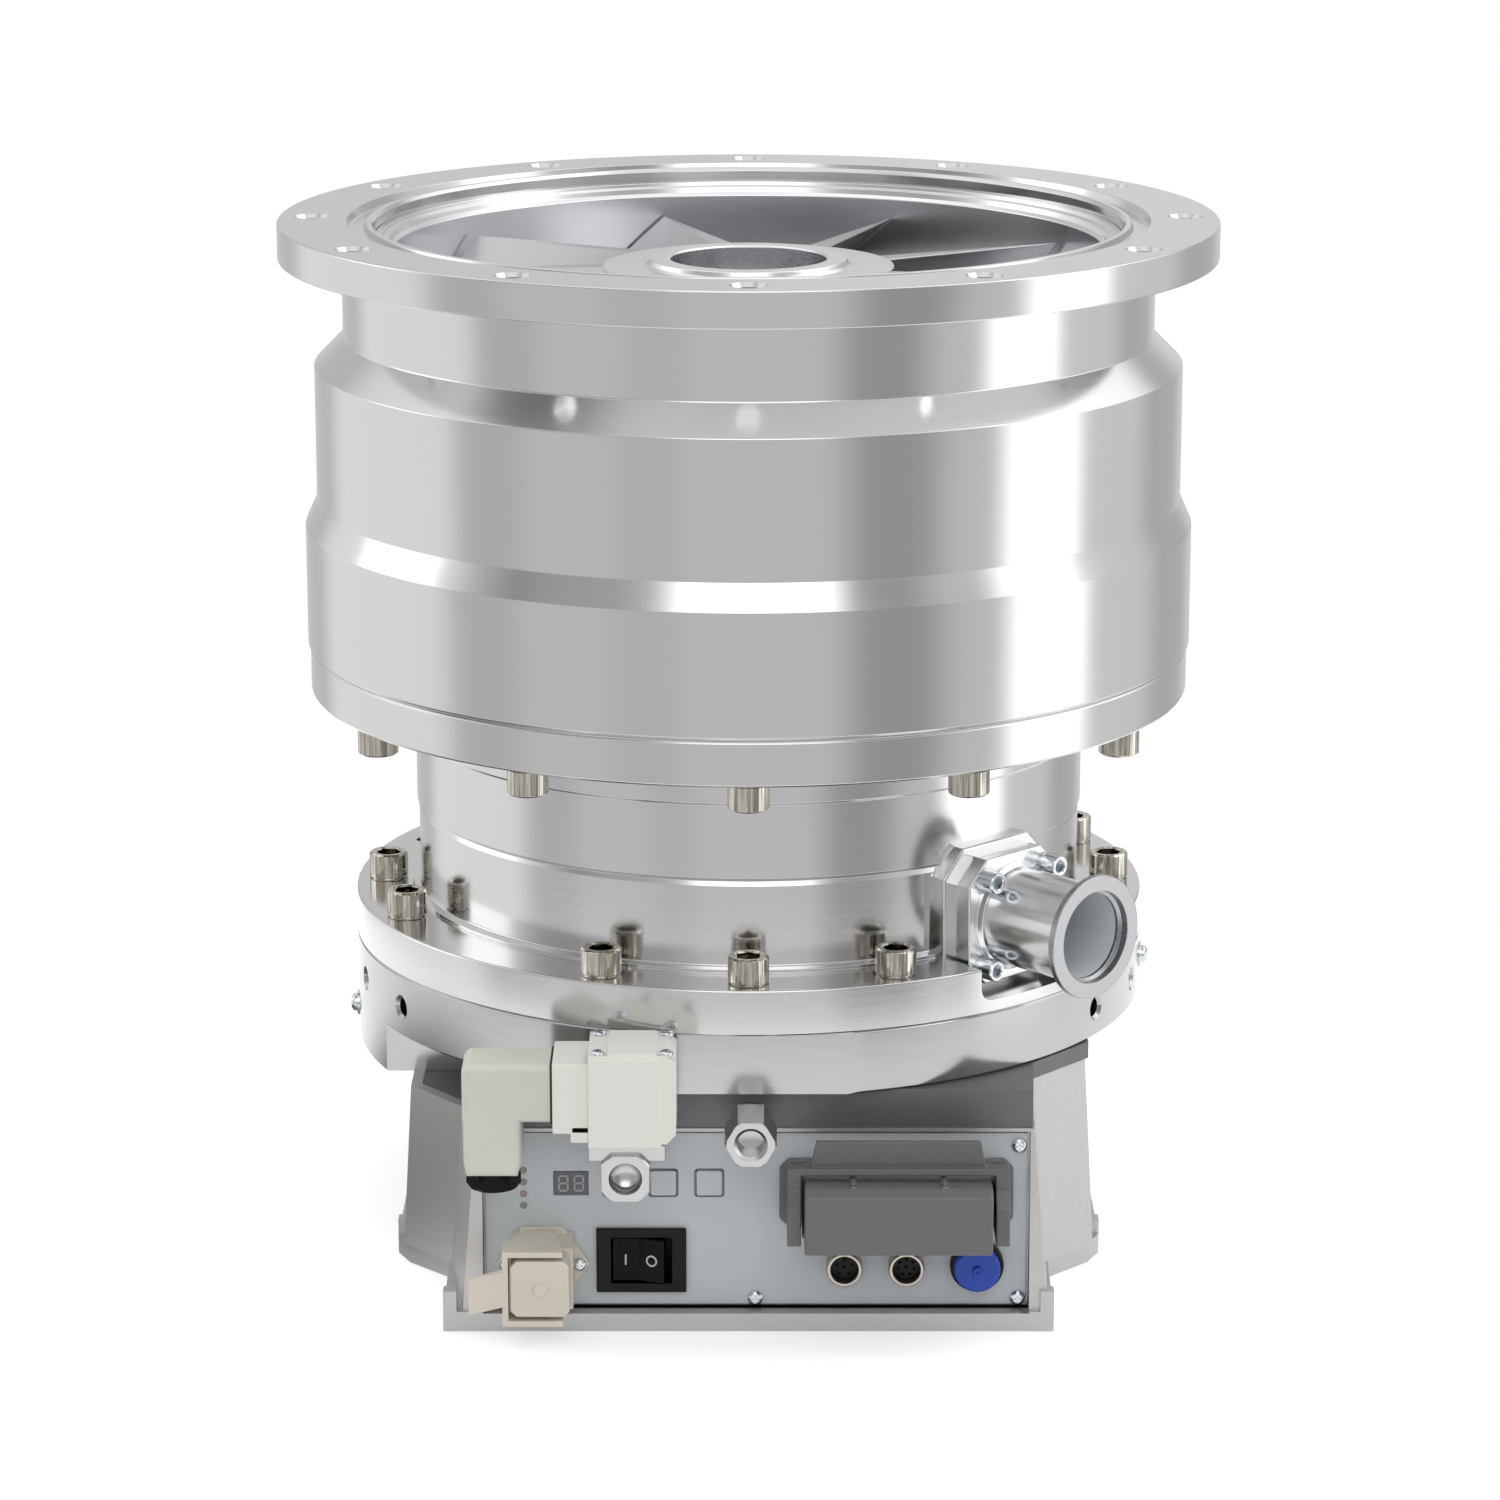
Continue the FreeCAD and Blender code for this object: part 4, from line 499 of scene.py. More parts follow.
# Nickel-plated brass shells of the sockets: a warm, soft shine
SOCKET_METAL = finish("nickel_socket_shell", "B9B2A6", 0.24, 1.0, shift=0.03, cloud=8, grain=0.5,
                      rough_swing=0.04, bump=0.01)
# Ground shaft steel and wound copper inside: dull, seen only through the inlet
HIDDEN_STEEL = finish("ground_steel", "8E8F90", 0.35, 1.0, cloud=30, grain=0.8)
HIDDEN_COPPER = finish("wound_copper", "B06A3C", 0.4, 1.0, cloud=15, grain=1.0)

# %% Enamel, cast surfaces and plastics
# Die-cast aluminium under a grey fine-structure enamel: sand-fine grain, half matt
CAST_GREY = finish("structured_grey_enamel", "C2C0BF", 0.40, 0.70, shift=0.02, cloud=60, grain=0.9,
                   bump=0.22, speck=0.07, rough_swing=0.08)
LID_GREY = finish("dark_structured_enamel", "6F6F70", 0.45, 0.35, shift=0.03, cloud=60, grain=0.9,
                  bump=0.2, speck=0.08, rough_swing=0.08)
# The foot's rim is machined after casting and left bare, so it shines more than the enamel
FOOT_RIM = finish("machined_foot_rim", "B6B7B8", 0.30, 0.8, shift=0.02, cloud=50, grain=0.7, bump=0.02)
# Printed front foil on sheet: smooth, pale blue-grey
PANEL_GREY = finish("satin_panel_foil", "C6CBCF", 0.40, 0.0, shift=0.015, cloud=80, grain=0.7,
                    rough_swing=0.03, bump=0.01)
# Screen print, smoked acrylic and unlit lamps: flat or glassy dark greys
PRINT_DARK = finish("dark_panel_print", "4C4F54", 0.4, cloud=10, grain=0.5)
SMOKED_PANE = finish("smoked_display_pane", "565A62", 0.15, shift=0.04, cloud=8, grain=0.5,
                     rough_swing=0.02)
SEGMENT_GREY = finish("unlit_segment", "A09D9B", 0.3, cloud=6, grain=0.4)
LAMP_GREEN = finish("unlit_green_lens", "8C9187", 0.18, cloud=2, grain=0.4, rough_swing=0.02)
LAMP_RED = finish("unlit_red_lens", "A18987", 0.18, cloud=2, grain=0.4, rough_swing=0.02)
# Moulded housings: nylon and polycarbonate blends, spark-eroded mould texture
BLACK_PLASTIC = finish("black_moulded_nylon", "0A0A0B", 0.32, shift=0.1, cloud=12, grain=0.5, bump=0.03,
                       Specular_IOR_Level=0.2)
ROCKER_BLACK = finish("black_gloss_rocker", "070708", 0.24, shift=0.1, cloud=12, grain=0.5, bump=0.01,
                      Specular_IOR_Level=0.12)
MARK_WHITE = finish("white_pad_print", "C9CACA", 0.5, cloud=4, grain=0.4)
CONNECTOR_GREY = finish("grey_connector_nylon", "666667", 0.42, shift=0.04, cloud=25, grain=0.5, bump=0.03)
LEVER_GREY = finish("dark_lever_nylon", "626262", 0.42, shift=0.04, cloud=25, grain=0.5, bump=0.03)
CREAM = finish("cream_connector_nylon", "D6CFC1", 0.42, shift=0.03, cloud=18, grain=0.5, bump=0.02,
               Subsurface_Weight=0.08, Subsurface_Radius=(0.004, 0.003, 0.002))
CAP_BLUE = finish("blue_soft_cap", "1842AC", 0.38, shift=0.06, cloud=10, grain=0.5, bump=0.02)
COIL_WHITE = finish("white_coil_resin", "E6E5DE", 0.42, shift=0.02, cloud=25, grain=0.6, bump=0.02)
# Unfilled nylon lets light in, so the plug looks milky
PLUG_NYLON = finish("milky_nylon", "D3D3CA", 0.38, shift=0.03, cloud=22, grain=0.8, bump=0.05,
                    Subsurface_Weight=0.25, Subsurface_Radius=(0.005, 0.005, 0.004))
RUBBER = finish("black_rubber", "090909", 0.6, cloud=8, grain=0.5, bump=0.03)
BOARD_GREEN = finish("green_circuit_board", "245A3A", 0.4, cloud=15, grain=0.6)
print("finishes:", len(bpy.data.materials))

# %% [markdown]
# ## Inlet casing
# The casing is one steel ring with a bolted flange on top. In the photograph its rim, its two bevels
# and its foot catch thin bright lines, so every corner of the profile gets a small real radius.
# The flange has a shallow seal groove and 12 bolt holes with broken edges, which are cut.

# %% Casing
INLET_Z, CASING_FOOT, BOLT_CIRCLE_R = 468.0, 274.5, 197.5
TWELVE = range(0, 360, 30)
CASING_PROFILE = [
    (169.0, CASING_FOOT, 0.3), (201.2, CASING_FOOT, 0.3), (202.4, 275.9, 0.5), (202.4, 330.0, 0.8),
    (197.0, 342.0, 0.8),
    (197.0, 403.1, 1.0), (183.8, 416.3, 1.5), (183.8, 451.7, 1.2), (212.5, 451.7, 0.8), (212.5, INLET_Z, 0.9),
    (181.4, INLET_Z, 0.4), (180.0, 464.2, 0.8), (173.4, 464.2, 0.8), (172.6, 467.2, 0.5), (170.2, 467.2, 0.5),
    (169.0, 465.6, 0.5),
]
bolt_hole = turned([(0, -20), (6.8, -20), (6.8, -2.0), (8.3, 0.2), (0, 0.2)], 48)
casing = carved(turned(CASING_PROFILE, 288), around(bolt_hole, BOLT_CIRCLE_R, TWELVE, INLET_Z))
piece("casing", casing, SATIN_STEEL, ("inlet_flange", "inlet_casing"))

# %% Sleeve of spacer rings
SLEEVE_PROFILE = [
    (160.0, CASING_FOOT), (168.8, CASING_FOOT), (168.8, 461.0, 0.3), (165.6, 461.0, 0.4), (165.0, 459.2, 0.4),
    (162.6, 458.8, 0.4), (161.8, 456.4, 0.5), (160.0, 455.0, 0.8),
]
piece("spacer_rings", turned(SLEEVE_PROFILE, 240), STATOR_ALLOY, ("spacer_sleeve",))

# %% [markdown]
# ## Spool and neck
# Below the casing sits a spool: a broad flange, a narrow neck and a second flange. The neck has a
# thin bevelled step that shows as a bright line half way down. A flat pad carries the exhaust port,
# and a rounded notch in the lower flange makes room for the port's plate. Six slanted grooves
# inside are the last pumping stage. Pad, notch and grooves are booleans of the turned body.

# %% Neck
EXHAUST_AZ, EXHAUST_Z = 44.0, 175.0
BASE_TOP, SPOOL_TOP, SCREW_FACE, BASE_SCREW_R = 137.8, 158.4, 253.9, 168.0
NECK_PROFILE = [
    (104.3, BASE_TOP), (181.8, BASE_TOP, 0.3), (182.4, 138.6, 0.4), (182.4, SPOOL_TOP, 1.0),
    (156.2, SPOOL_TOP, 0.3), (156.2, 159.8, 0.3), (152.6, 160.6, 0.8), (152.9, 196.8, 0.2),
    (151.8, 198.8, 0.2), (153.8, 200.6, 0.3), (153.8, 233.5, 0.3), (155.0, 234.6, 0.4),
    (155.0, SCREW_FACE, 1.2), (200.4, SCREW_FACE, 0.6), (201.3, 254.9, 0.6), (201.3, 273.0, 0.5),
    (200.0, CASING_FOOT, 0.3), (104.3, CASING_FOOT),
]


def at_exhaust(shape):
    """Shape whose own z points out of the exhaust, set on the exhaust's axis."""
    return moved(shape, (0, 0, EXHAUST_Z), outwards(EXHAUST_AZ))


neck = turned(NECK_PROFILE, 288)
pad = slab([(-33, -32, 0), (33, -32, 0), (33, 20, 1), (21, 32, 1), (-21, 32, 1), (-33, 20, 1)], 128, 158, 1.2)
neck = carved(neck, at_exhaust(pad), "UNION")
notch = slab([(-31.5, -31.5, 6), (31.5, -31.5, 6), (31.5, 20, 0), (-31.5, 20, 0)], 158, 195, 0)
exhaust_way = turned([(0, 80), (20, 80), (20, 160), (0, 160)], 64)
for tool in (notch, exhaust_way):
    neck = carved(neck, at_exhaust(tool))
groove = moved(slab(oblong(13, 78), 55, 110.3, 0), turn=spun(28))
grooves = joined([moved(groove, (0, 0, 235.0), outwards(az)) for az in range(30, 390, 60)])
floor_cut = turned([(0, 196), (110.2, 196), (110.2, 290), (0, 290)], 96)
neck = carved(neck, carved(grooves, floor_cut, "INTERSECT"))
jack_hole = turned([(0, -12), (4.4, -12), (4.4, -0.6), (5.2, 0.4), (0, 0.4)], 32)
neck = carved(neck, around(jack_hole, BASE_SCREW_R, [247.5], SPOOL_TOP))
piece("neck", neck, SATIN_STEEL, ("spool_flange", "drag_housing", "neck_flange"))

# %% [markdown]
# ## Base block
# The base block is a thick disc with a flat at the front and one step down at its left. Threaded
# ports with a wide broken edge look out of its rim. A column inside it holds the bearings.

# %% Base block
BASE_R, BASE_FOOT, BASE_STEP = 182.4, 109.5, 88.2
disc = turned([(0, BASE_FOOT), (BASE_R - 1.2, BASE_FOOT, 0.3), (BASE_R, BASE_FOOT + 1.2, 0.3),
               (BASE_R, BASE_TOP - 0.7, 0.3), (BASE_R - 0.7, BASE_TOP, 0.2), (0, BASE_TOP)], 288)
low_disc = turned([(0, BASE_STEP), (BASE_R, BASE_STEP, 0.8), (BASE_R, BASE_FOOT + 6), (0, BASE_FOOT + 6)],
                  288)
low_part = carved(low_disc, slab(oblong(35, 78.5, 2, -153.3, 0), BASE_STEP, BASE_FOOT + 5.5, 0), "INTERSECT")
front_flat = moved(slab(oblong(110, 20, 0), 176.0, 200, 0), (0, 0, 123.6), outwards())
side_port = turned([(0, -16), (4.2, -16), (4.2, -1.6), (7.0, 1.2), (0, 1.2)], 40)
ports = around(side_port, BASE_R, (-74.7, -59.2, 59.2, 74.7), 123.0, outwards)
base = carved(carved(disc, low_part, "UNION"), front_flat)
base = carved(base, ports)
column = turned([(48, BASE_TOP), (57, BASE_TOP), (57, 400, 1), (48, 400, 1)], 64)
base = carved(base, column, "UNION")
piece("base_block", base, BASE_ALLOY, ("base_block",))

# %% [markdown]
# ## Exhaust port
# A square plate with cut corners carries a polished pipe that ends in a clamp flange: a thin rim
# with a slanted back, where a chain clamp grips, and a shallow recess inside for the centring ring.
# The rim is fine turned and the bore is blasted, so each is a piece with a finish of its own.

# %% Exhaust port
PLATE_FACE = 169.0
plate = slab(cut_square(28.5, 11.0, 1.0), 158, PLATE_FACE, 0.8)
pipe = turned([(19.2, 159), (24.6, 159), (24.6, PLATE_FACE + 0.9, 0.5), (22, PLATE_FACE + 1.9, 0.6),
               (22, 212.4, 0.6), (19.2, 212.4)], 128)
clamp_rim = turned([(19.0, 212.2), (22, 212.2), (26.9, 214.8, 0.3), (27.5, 215.2, 0.2), (27.5, 218, 0.5),
                    (20.6, 218, 0.3), (20.6, 214.6, 0.3), (19.0, 213.8, 0.3)], 128)
lining = turned([(18.9, 159), (19.3, 159), (19.3, 212.3), (18.9, 212.3)], 128)
plate = carved(plate, turned([(0, 150), (19, 150), (19, 175), (0, 175)], 128))
piece("exhaust_port", at_exhaust(joined([plate, pipe])), PORT_STEEL, ("exhaust_port",))
for name, shape, made in (("clamp_rim", clamp_rim, CLAMP_STEEL), ("pipe_bore", lining, BLASTED)):
    piece(name, at_exhaust(shape), made)


# %% [markdown]
# ## Screws
# A socket head cap screw has a knurled side, a small bevel round its top and a six-sided key hole.
# The whole head is one turned surface: the knurl lowers the widest radius in ridges, and the key
# hole follows a hexagon's radius instead of a circle's. Pan heads get a cut cross.

# %% Screw shapes
def cap_screw(radius, height, flats):
    """Cap head on z = 0 with its key hole open at the top."""
    reach = flats / 2 / math.cos(math.pi / 6)
    return turned([(0, 0), (radius * 0.93, 0, 0.1), (radius * 0.93, 0.5, 0.1), (radius, 0.9, 0.1),
                   (radius, height - 0.9, 0.2), (radius * 0.9, height, 0.3), (reach * 1.12, height, 0.2),
                   (reach, height - 0.5), (reach, height * 0.45), (0, height * 0.4)],
                  144, 2, 6, flats, True, 36, radius * 0.009)


def pan_screw(radius, height):
    """Domed head on z = 0 with a cross cut into it."""
    dome = turned([(0, 0), (radius, 0, 0.05), (radius, height * 0.55, height * 0.4),
                   (radius * 0.62, height, radius * 0.3), (0, height)], 32, 4)
    arm, width = radius * 0.55, radius * 0.13
    cross = joined([slab(oblong(arm, width), height * 0.35, height + 1, 0),
                    slab(oblong(width * 0.98, arm * 0.98), height * 0.36, height + 1.2, 0)])
    return carved(dome, cross)


big_screw = cap_screw(9.0, 12.0, 10.0)
CASING_SCREW_R = 190.0
hanging = around(moved(big_screw, turn=UPSIDE_DOWN), CASING_SCREW_R, TWELVE, SCREW_FACE)
piece("casing_screws", hanging, NICKEL, ("casing_screws",), sharp=20)
base_places = [22.5 * k for k in (0, 1, 3, 4, 5, 7, 8, 9, 12, 13, 15)]
standing = around(big_screw, BASE_SCREW_R, base_places, SPOOL_TOP)
piece("base_screws", standing, NICKEL, ("base_screws",), sharp=20)
port_screw = cap_screw(4.8, 9.5, 5.0)
port_screws = joined([moved(port_screw, (x, y, PLATE_FACE)) for x in (-20, 20) for y in (-20, 20)])
piece("port_screws", at_exhaust(port_screws), ZINC, sharp=20)

# %% [markdown]
# ## Rotor
# The hub with its collar is turned. The nine blades of the top row are ruled surfaces: near the hub
# they are thick and steep, and at the tip thin and flat. A blade is a grid of two parameters, the
# radius and the way round its section, and its edges get a small radius.

# %% Hub
HUB_TOP, HUB_WEB = 446.0, 424.0
ROTOR_PROFILE = [
    (0, 410), (62, 410, 2), (62, 202, 1), (104, 202, 1), (104, 300, 2), (80, 300, 1), (80, 419, 1),
    (66, 419, 0.5), (66, HUB_TOP, 0.6), (47.0, HUB_TOP, 1.2), (45.6, 447.2, 0.8), (44.6, 449.4, 0.8),
    (36.2, 449.4, 0.5), (35.4, 448.6, 0.4), (35.4, HUB_WEB, 1.5), (0, HUB_WEB),
]
piece("rotor_hub", turned(ROTOR_PROFILE, 192), ROTOR_ALLOY, ("rotor",), "rotor_group")


# %% Blades
BLADE_TOP, BLADE_FOOT = 445.8, 422.0


def wide_blade(root_r=60.0, tip_r=157.2, stations=28):
    """Ruled blade: at each radius a slanted section between the two heights, whose width and lean
    change evenly from root to tip; sections lie in planes square to the radius."""
    share = np.linspace(0, 1, stations)
    sections = []
    for s in share:
        width, lean = 11.5 + s * (1.4 - 11.5), 15.0 + s * 13.0
        soft = 0.35 + 0.5 * (1 - s)
        ring = rounded([(-width, BLADE_TOP, soft), (0, BLADE_TOP, soft), (lean, BLADE_FOOT, soft),
                        (lean - width, BLADE_FOOT, soft)], 4)
        sections.append(np.column_stack([np.full(len(ring), root_r + s * (tip_r - root_r)), ring]))
    count = len(sections[0])
    points = np.vstack(sections)
    tip = (stations - 1) * count + np.arange(count)
    loops = np.concatenate([woven(stations, count, False, True), np.arange(count), tip[::-1]])
    return points, loops, np.concatenate([np.full((stations - 1) * count, 4), [count, count]])


top_row = joined([moved(wide_blade(), turn=spun(35 - 90 + 40 * k)) for k in range(9)])
piece("rotor_blades", top_row, SHADED_BLADE_ALLOY, ("rotor_top_row",), "rotor_group")
clamp = turned([(0, HUB_WEB), (22.6, HUB_WEB), (22.6, 431.4, 0.4), (19.4, 433, 0.3), (0, 433)],
               72, 3, 6, 40.0)
piece("rotor_clamp", clamp, HIDDEN_STEEL, ("clamp_screw",), "rotor_group")

# %% [markdown]
# ## Controller housing, lid and panel
# These are boxy castings and sheets whose CAD shape is right. A copy of each CAD node gets its
# triangles joined into flat faces and a bevel on every hard edge. Modelling them again would
# only repeat the same corners. The faces low on the foot get the finish of its machined rim, and a
# thin plate closes the top of the left wing. The panel's screws have cross heads.

# %% Housing
housing = softened("housing", "controller_housing", CAST_GREY, 1.3)
housing.data.materials.append(FOOT_RIM)
FOOT_RIM_TOP = 12.0
for face in housing.data.polygons:
    if face.center.z < FOOT_RIM_TOP * MM:
        face.material_index = 1
WING_ROOF, ROOF_THICK = 88.0, 1.8
wing = [(-116, -165), (-123, -127), (-147.6, -97.5), (-147.6, 99), (-116, 138)]
roof = slab(wing, WING_ROOF - ROOF_THICK, WING_ROOF, 0)
piece("housing_roof", roof, LID_GREY)
softened("lid", "controller_lid", LID_GREY, 0.8)
softened("panel", "front_panel", PANEL_GREY, 0.25, steps=2)
softened("floor_plate", "bottom_plate", LID_GREY, 0.4, steps=2)
PANEL_Y = 168.0
panel_screw = pan_screw(3.4, 2.2)
panel_places = [(118.7, 83.4), (118.7, 12.6), (3.0, 12.5), (-112.0, 83.4), (-112.0, 12.6)]
panel_screws = joined([moved(panel_screw, (x, -PANEL_Y, z), outwards()) for x, z in panel_places])
piece("panel_screws", panel_screws, ZINC)

# %% [markdown]
# ## Lamps, display and keys
# Four small domed lenses stand beside a smoked display pane. The two figures in it are unlit
# segments, so they read as a plain pair of eights. Each key has a thin dark printed frame.


# %% Panel items
def on_panel(shape, x, z, y=PANEL_Y):
    """Shape whose own z points out of the panel, set at (x, z)."""
    return moved(shape, (x, -y, z), outwards())


def frame_of(half, line, corner, thick):
    """Flat square frame with rounded corners: an outer and an inner ring on two levels."""
    outer = rounded(oblong(half, half, corner), 5)
    inner = rounded(oblong(half - line, half - line, corner - line), 5)
    rings = [np.column_stack([ring, np.full(len(ring), z)]) for ring, z in
             ((outer, -0.1), (outer, thick), (inner, thick), (inner, -0.1))]
    loops = woven(4, len(outer), True, True)
    return np.vstack(rings), loops, np.full(len(loops) // 4, 4)


lens = turned([(0, -0.2), (1.6, -0.2), (1.6, 0.25, 0.2), (1.0, 0.6, 0.5), (0, 0.7)], 32, 4)
lamp_zs = [71.7 - 5.43 * k for k in range(4)]
green = joined([on_panel(lens, -98.9, z) for z in (lamp_zs[0], lamp_zs[1], lamp_zs[3])])
piece("lamps_green", green, LAMP_GREEN, ("lamps",))
piece("lamp_red", on_panel(lens, -98.9, lamp_zs[2]), LAMP_RED)
softened("display_pane", "display", SMOKED_PANE, 0.3, steps=2)


def eight(x, z, half_w=1.9, half_h=3.4, line=0.42):
    """Seven bars of a figure, each a thin slab."""
    bars = [(x, z + step * half_h, half_w - 0.3, line) for step in (1, 0, -1)]
    bars += [(x + sx * half_w, z + sz * half_h / 2, line, half_h / 2 - 0.3)
             for sx in (-1, 1) for sz in (-1, 1)]
    return joined([on_panel(slab(oblong(w, h, 0.2), 0.1, 0.28, 0.0), bx, bz) for bx, bz, w, h in bars])


DIGIT_Z, KEY_Z = 65.7, 65.9
digits = joined([eight(-81.3, DIGIT_Z), eight(-74.5, DIGIT_Z)])
piece("display_figures", digits, SEGMENT_GREY)
for k, key_x in enumerate((-57.6, -37.4, -17.2), 1):
    key = on_panel(slab(oblong(5.6, 5.6, 1.0), -1.3, 0.6, 0.25), key_x, KEY_Z)
    piece("key_%d_cap" % k, key, PANEL_GREY, ("panel_key_%d" % k,), "key_%d" % k)
    border = on_panel(frame_of(6.6, 0.55, 1.6, 0.12), key_x, KEY_Z)
    piece("key_%d_frame" % k, border, PRINT_DARK)

# %% [markdown]
# ## Power switch
# The switch is a rocker in a frame, both glossy black. Its two marks are thin raised prints: a bar
# on one side and a ring on the other. They lie on the slanted halves, so they are drawn flat
# and then turned about the rocker's own axis.

# %% Switch
softened("switch_frame", "switch_bezel", BLACK_PLASTIC, 0.5)
softened("switch_rocker_cap", "switch_rocker", ROCKER_BLACK, 0.6, "rocker")
ROCKER_PIVOT = np.array([-47.2, -163.0, 30.4])
HALF_RUN, HALF_RISE = 11.6, 2.2
slope = math.atan2(HALF_RISE, HALF_RUN)


def on_rocker(shape, side):
    """Lay a mark on one half of the rocker: lean with that half, then tilt with the rocker at rest."""
    lean = side * slope
    turn = np.array([[math.cos(lean), 0, -math.sin(lean)], [0, 1, 0], [math.sin(lean), 0, math.cos(lean)]])
    flat = moved(moved(shape, turn=turn), (side * HALF_RUN / 2, 0, 6.9))
    return moved(moved(flat, turn=outwards()), ROCKER_PIVOT)


def tilted(shape, degrees):
    """Turn a shape about the rocker's upright axis."""
    return moved(moved(moved(shape, -ROCKER_PIVOT), turn=spun(degrees)), ROCKER_PIVOT)


REST_TILT = -10
bar = slab(oblong(0.35, 2.4), -0.2, 0.12, 0)
ring = turned([(1.9, -0.2), (2.6, -0.2), (2.6, 0.12), (1.9, 0.12)], 48)
marks = tilted(joined([on_rocker(bar, -1), on_rocker(ring, 1)]), REST_TILT)
piece("switch_marks", marks, MARK_WHITE, body="rocker")

# %% [markdown]
# ## Connectors
# The power connector is cream nylon with a cap and a swinging clip, and the signal connector is
# dark grey with a larger lever. Moulded parts have generous edge radii. Two round sockets and a
# capped service port stand beside them.

# %% Power and signal connectors
softened("power_socket", "power_connector", CREAM, 0.8)
softened("power_cap_cover", "power_cap", CREAM, 0.8)
softened("power_clip", "power_lever", CREAM, 0.6, "power_lever_body")
softened("signal_base", "signal_connector", CONNECTOR_GREY, 1.0)
softened("signal_hood", "signal_cover", CONNECTOR_GREY, 1.6)
softened("signal_clip", "signal_lever", LEVER_GREY, 0.9, "signal_lever_body")
flange_screw = pan_screw(2.9, 2.0)
flange_screws = joined([on_panel(flange_screw, x, 29.1, 171.0) for x in (-106.8, -74.4)])
piece("flange_screws", flange_screws, ZINC)

# %% Round sockets and service port
SOCKET_XS, SOCKET_Z, CONTACT_R = (42.2, 69.5), 28.0, 3.6
SERVICE_X, SERVICE_Z = 100.6, 28.4
shell = turned([(6.0, 0), (8.0, 0), (8.0, 7.0, 0.4), (7.4, 8.0, 0.4), (6.4, 8.0, 0.3), (6.0, 7.4, 0.3)], 64)
rings = joined([on_panel(shell, x, SOCKET_Z) for x in SOCKET_XS])
piece("socket_rings", rings, SOCKET_METAL, ("socket_shells",))
plug_face = turned([(0, 0.2), (6.0, 0.2), (6.0, 3.0, 0.3), (0, 3.0)], 48)
contact = turned([(0, 1.6), (0.85, 1.6), (0.85, 3.3), (0, 3.3)], 20)
faces = []
for socket_x, count in zip(SOCKET_XS, (6, 8)):
    angles = [2 * math.pi * k / (count - 1) for k in range(count - 1)]
    spots = [(CONTACT_R * math.sin(a), CONTACT_R * math.cos(a)) for a in angles] + [(0.0, 0.0)]
    holes = joined([moved(contact, (x, y, 0)) for x, y in spots])
    faces.append(on_panel(carved(plug_face, holes), socket_x, SOCKET_Z))
piece("socket_faces", joined(faces), BLACK_PLASTIC, ("socket_inserts",))
collar = turned([(0, 0), (11.8, 0), (11.8, 3.8, 0.4), (11.0, 4.5, 0.4), (0, 4.5)], 72)
piece("service_socket", on_panel(collar, SERVICE_X, SERVICE_Z), BLACK_PLASTIC,
      ("service_port",))
cap = turned([(0, 0), (10.2, 0, 0.2), (10.2, 4.2, 0.4), (9.2, 5.0, 0.5), (2.4, 5.0, 0.4), (1.8, 6.9, 0.3),
              (0.8, 7.0, 0.1), (0.7, 6.2), (0, 6.2)], 96, 3, ridges=24, ridge_depth=0.35)
piece("service_cover", on_panel(cap, SERVICE_X, SERVICE_Z, PANEL_Y + 4.5), CAP_BLUE,
      ("service_cap",), "service_cap_body")

# %% [markdown]
# ## Purge fitting and vent valve
# The fitting is two hexagons of different size with bevelled ends. A turned profile that is held
# inside a hexagon gives the curved lines that a real bevelled nut shows. The vent valve is a resin
# coil on a steel body with a milky plug on its side, closed by four cross-head screws.

# %% Fitting
nose = turned([(0, 12.3), (9.6, 12.3), (11.32, 14.6), (11.32, 39.4), (10.5, 40.5, 0.2), (7.4, 40.5, 0.3),
               (5.9, 39.0), (5.9, 27.5), (0, 26.2)], 72, 3, 6, 19.6)
tail = turned([(0, 0), (6.93, 0), (6.93, 12.6), (0, 12.6)], 72, 3, 6, 12.0)
piece("purge_port", on_panel(moved(joined([nose, tail]), turn=spun(30)), 1.0, 97.6, 169.0),
      FITTING, ("purge_fitting",))

# %% Coil, plug and valve body
COIL_X, COIL_FOOT, COIL_TOP = -49.8, 98.6, 140.6


def standing_block(x0, x1, y_front, y_back, z0, z1, corner, edge=0.5):
    """Block with soft upright corners and soft top and foot edges; y values are distances to the front."""
    plan = oblong((x1 - x0) / 2, (y_front - y_back) / 2, corner, (x0 + x1) / 2, -(y_front + y_back) / 2)
    return slab(plan, z0, z1, edge, edge)


coil_front = [(-18.8, 1.4, 0.8), (12.5, 1.4, 0.8), (14.8, 1.4, 0.8), (18.8, 5.6, 1.0), (18.8, 37.4, 1.0),
              (14.8, 41.0, 1.0), (-18.8, 41.0, 0.8)]
main = moved(slab(coil_front, 180.0, 216.3, 0.6, 0.6), (COIL_X, 0, COIL_FOOT), outwards())
front_plate = slab([(-18.8, 0, 0.7), (12.6, 0, 0.7), (12.6, 40.0, 0.7), (-18.8, 40.0, 0.7)], 200, 217.5, 0.6)
front_face = moved(front_plate, (COIL_X, 0, COIL_FOOT), outwards())
raised = standing_block(-60.3, -39.3, 216.0, 181.5, COIL_TOP - 2.5, COIL_TOP, 0.8)
step_box = standing_block(-83.9, -66.0, 215.5, 182.0, 104.5, 135.9, 1.0, 0.8)
lip = standing_block(-76.2, -66.0, 215.5, 182.0, 100.5, 108.0, 0.8, 0.6)
coil = joined([main, front_face, raised, step_box, lip])
piece("valve_coil", coil, COIL_WHITE, ("vent_coil",))
coil_screw = pan_screw(3.1, 1.9)
coil_screws = joined([moved(coil_screw, (COIL_X + x, -198.7 + y, COIL_TOP - 1.0))
                      for x in (-14.6, 14.6) for y in (-14.3, 13.5)])
piece("coil_screws", coil_screws, ZINC)
softened("plug_seal", "plug_gasket", RUBBER, 0.3, steps=2)

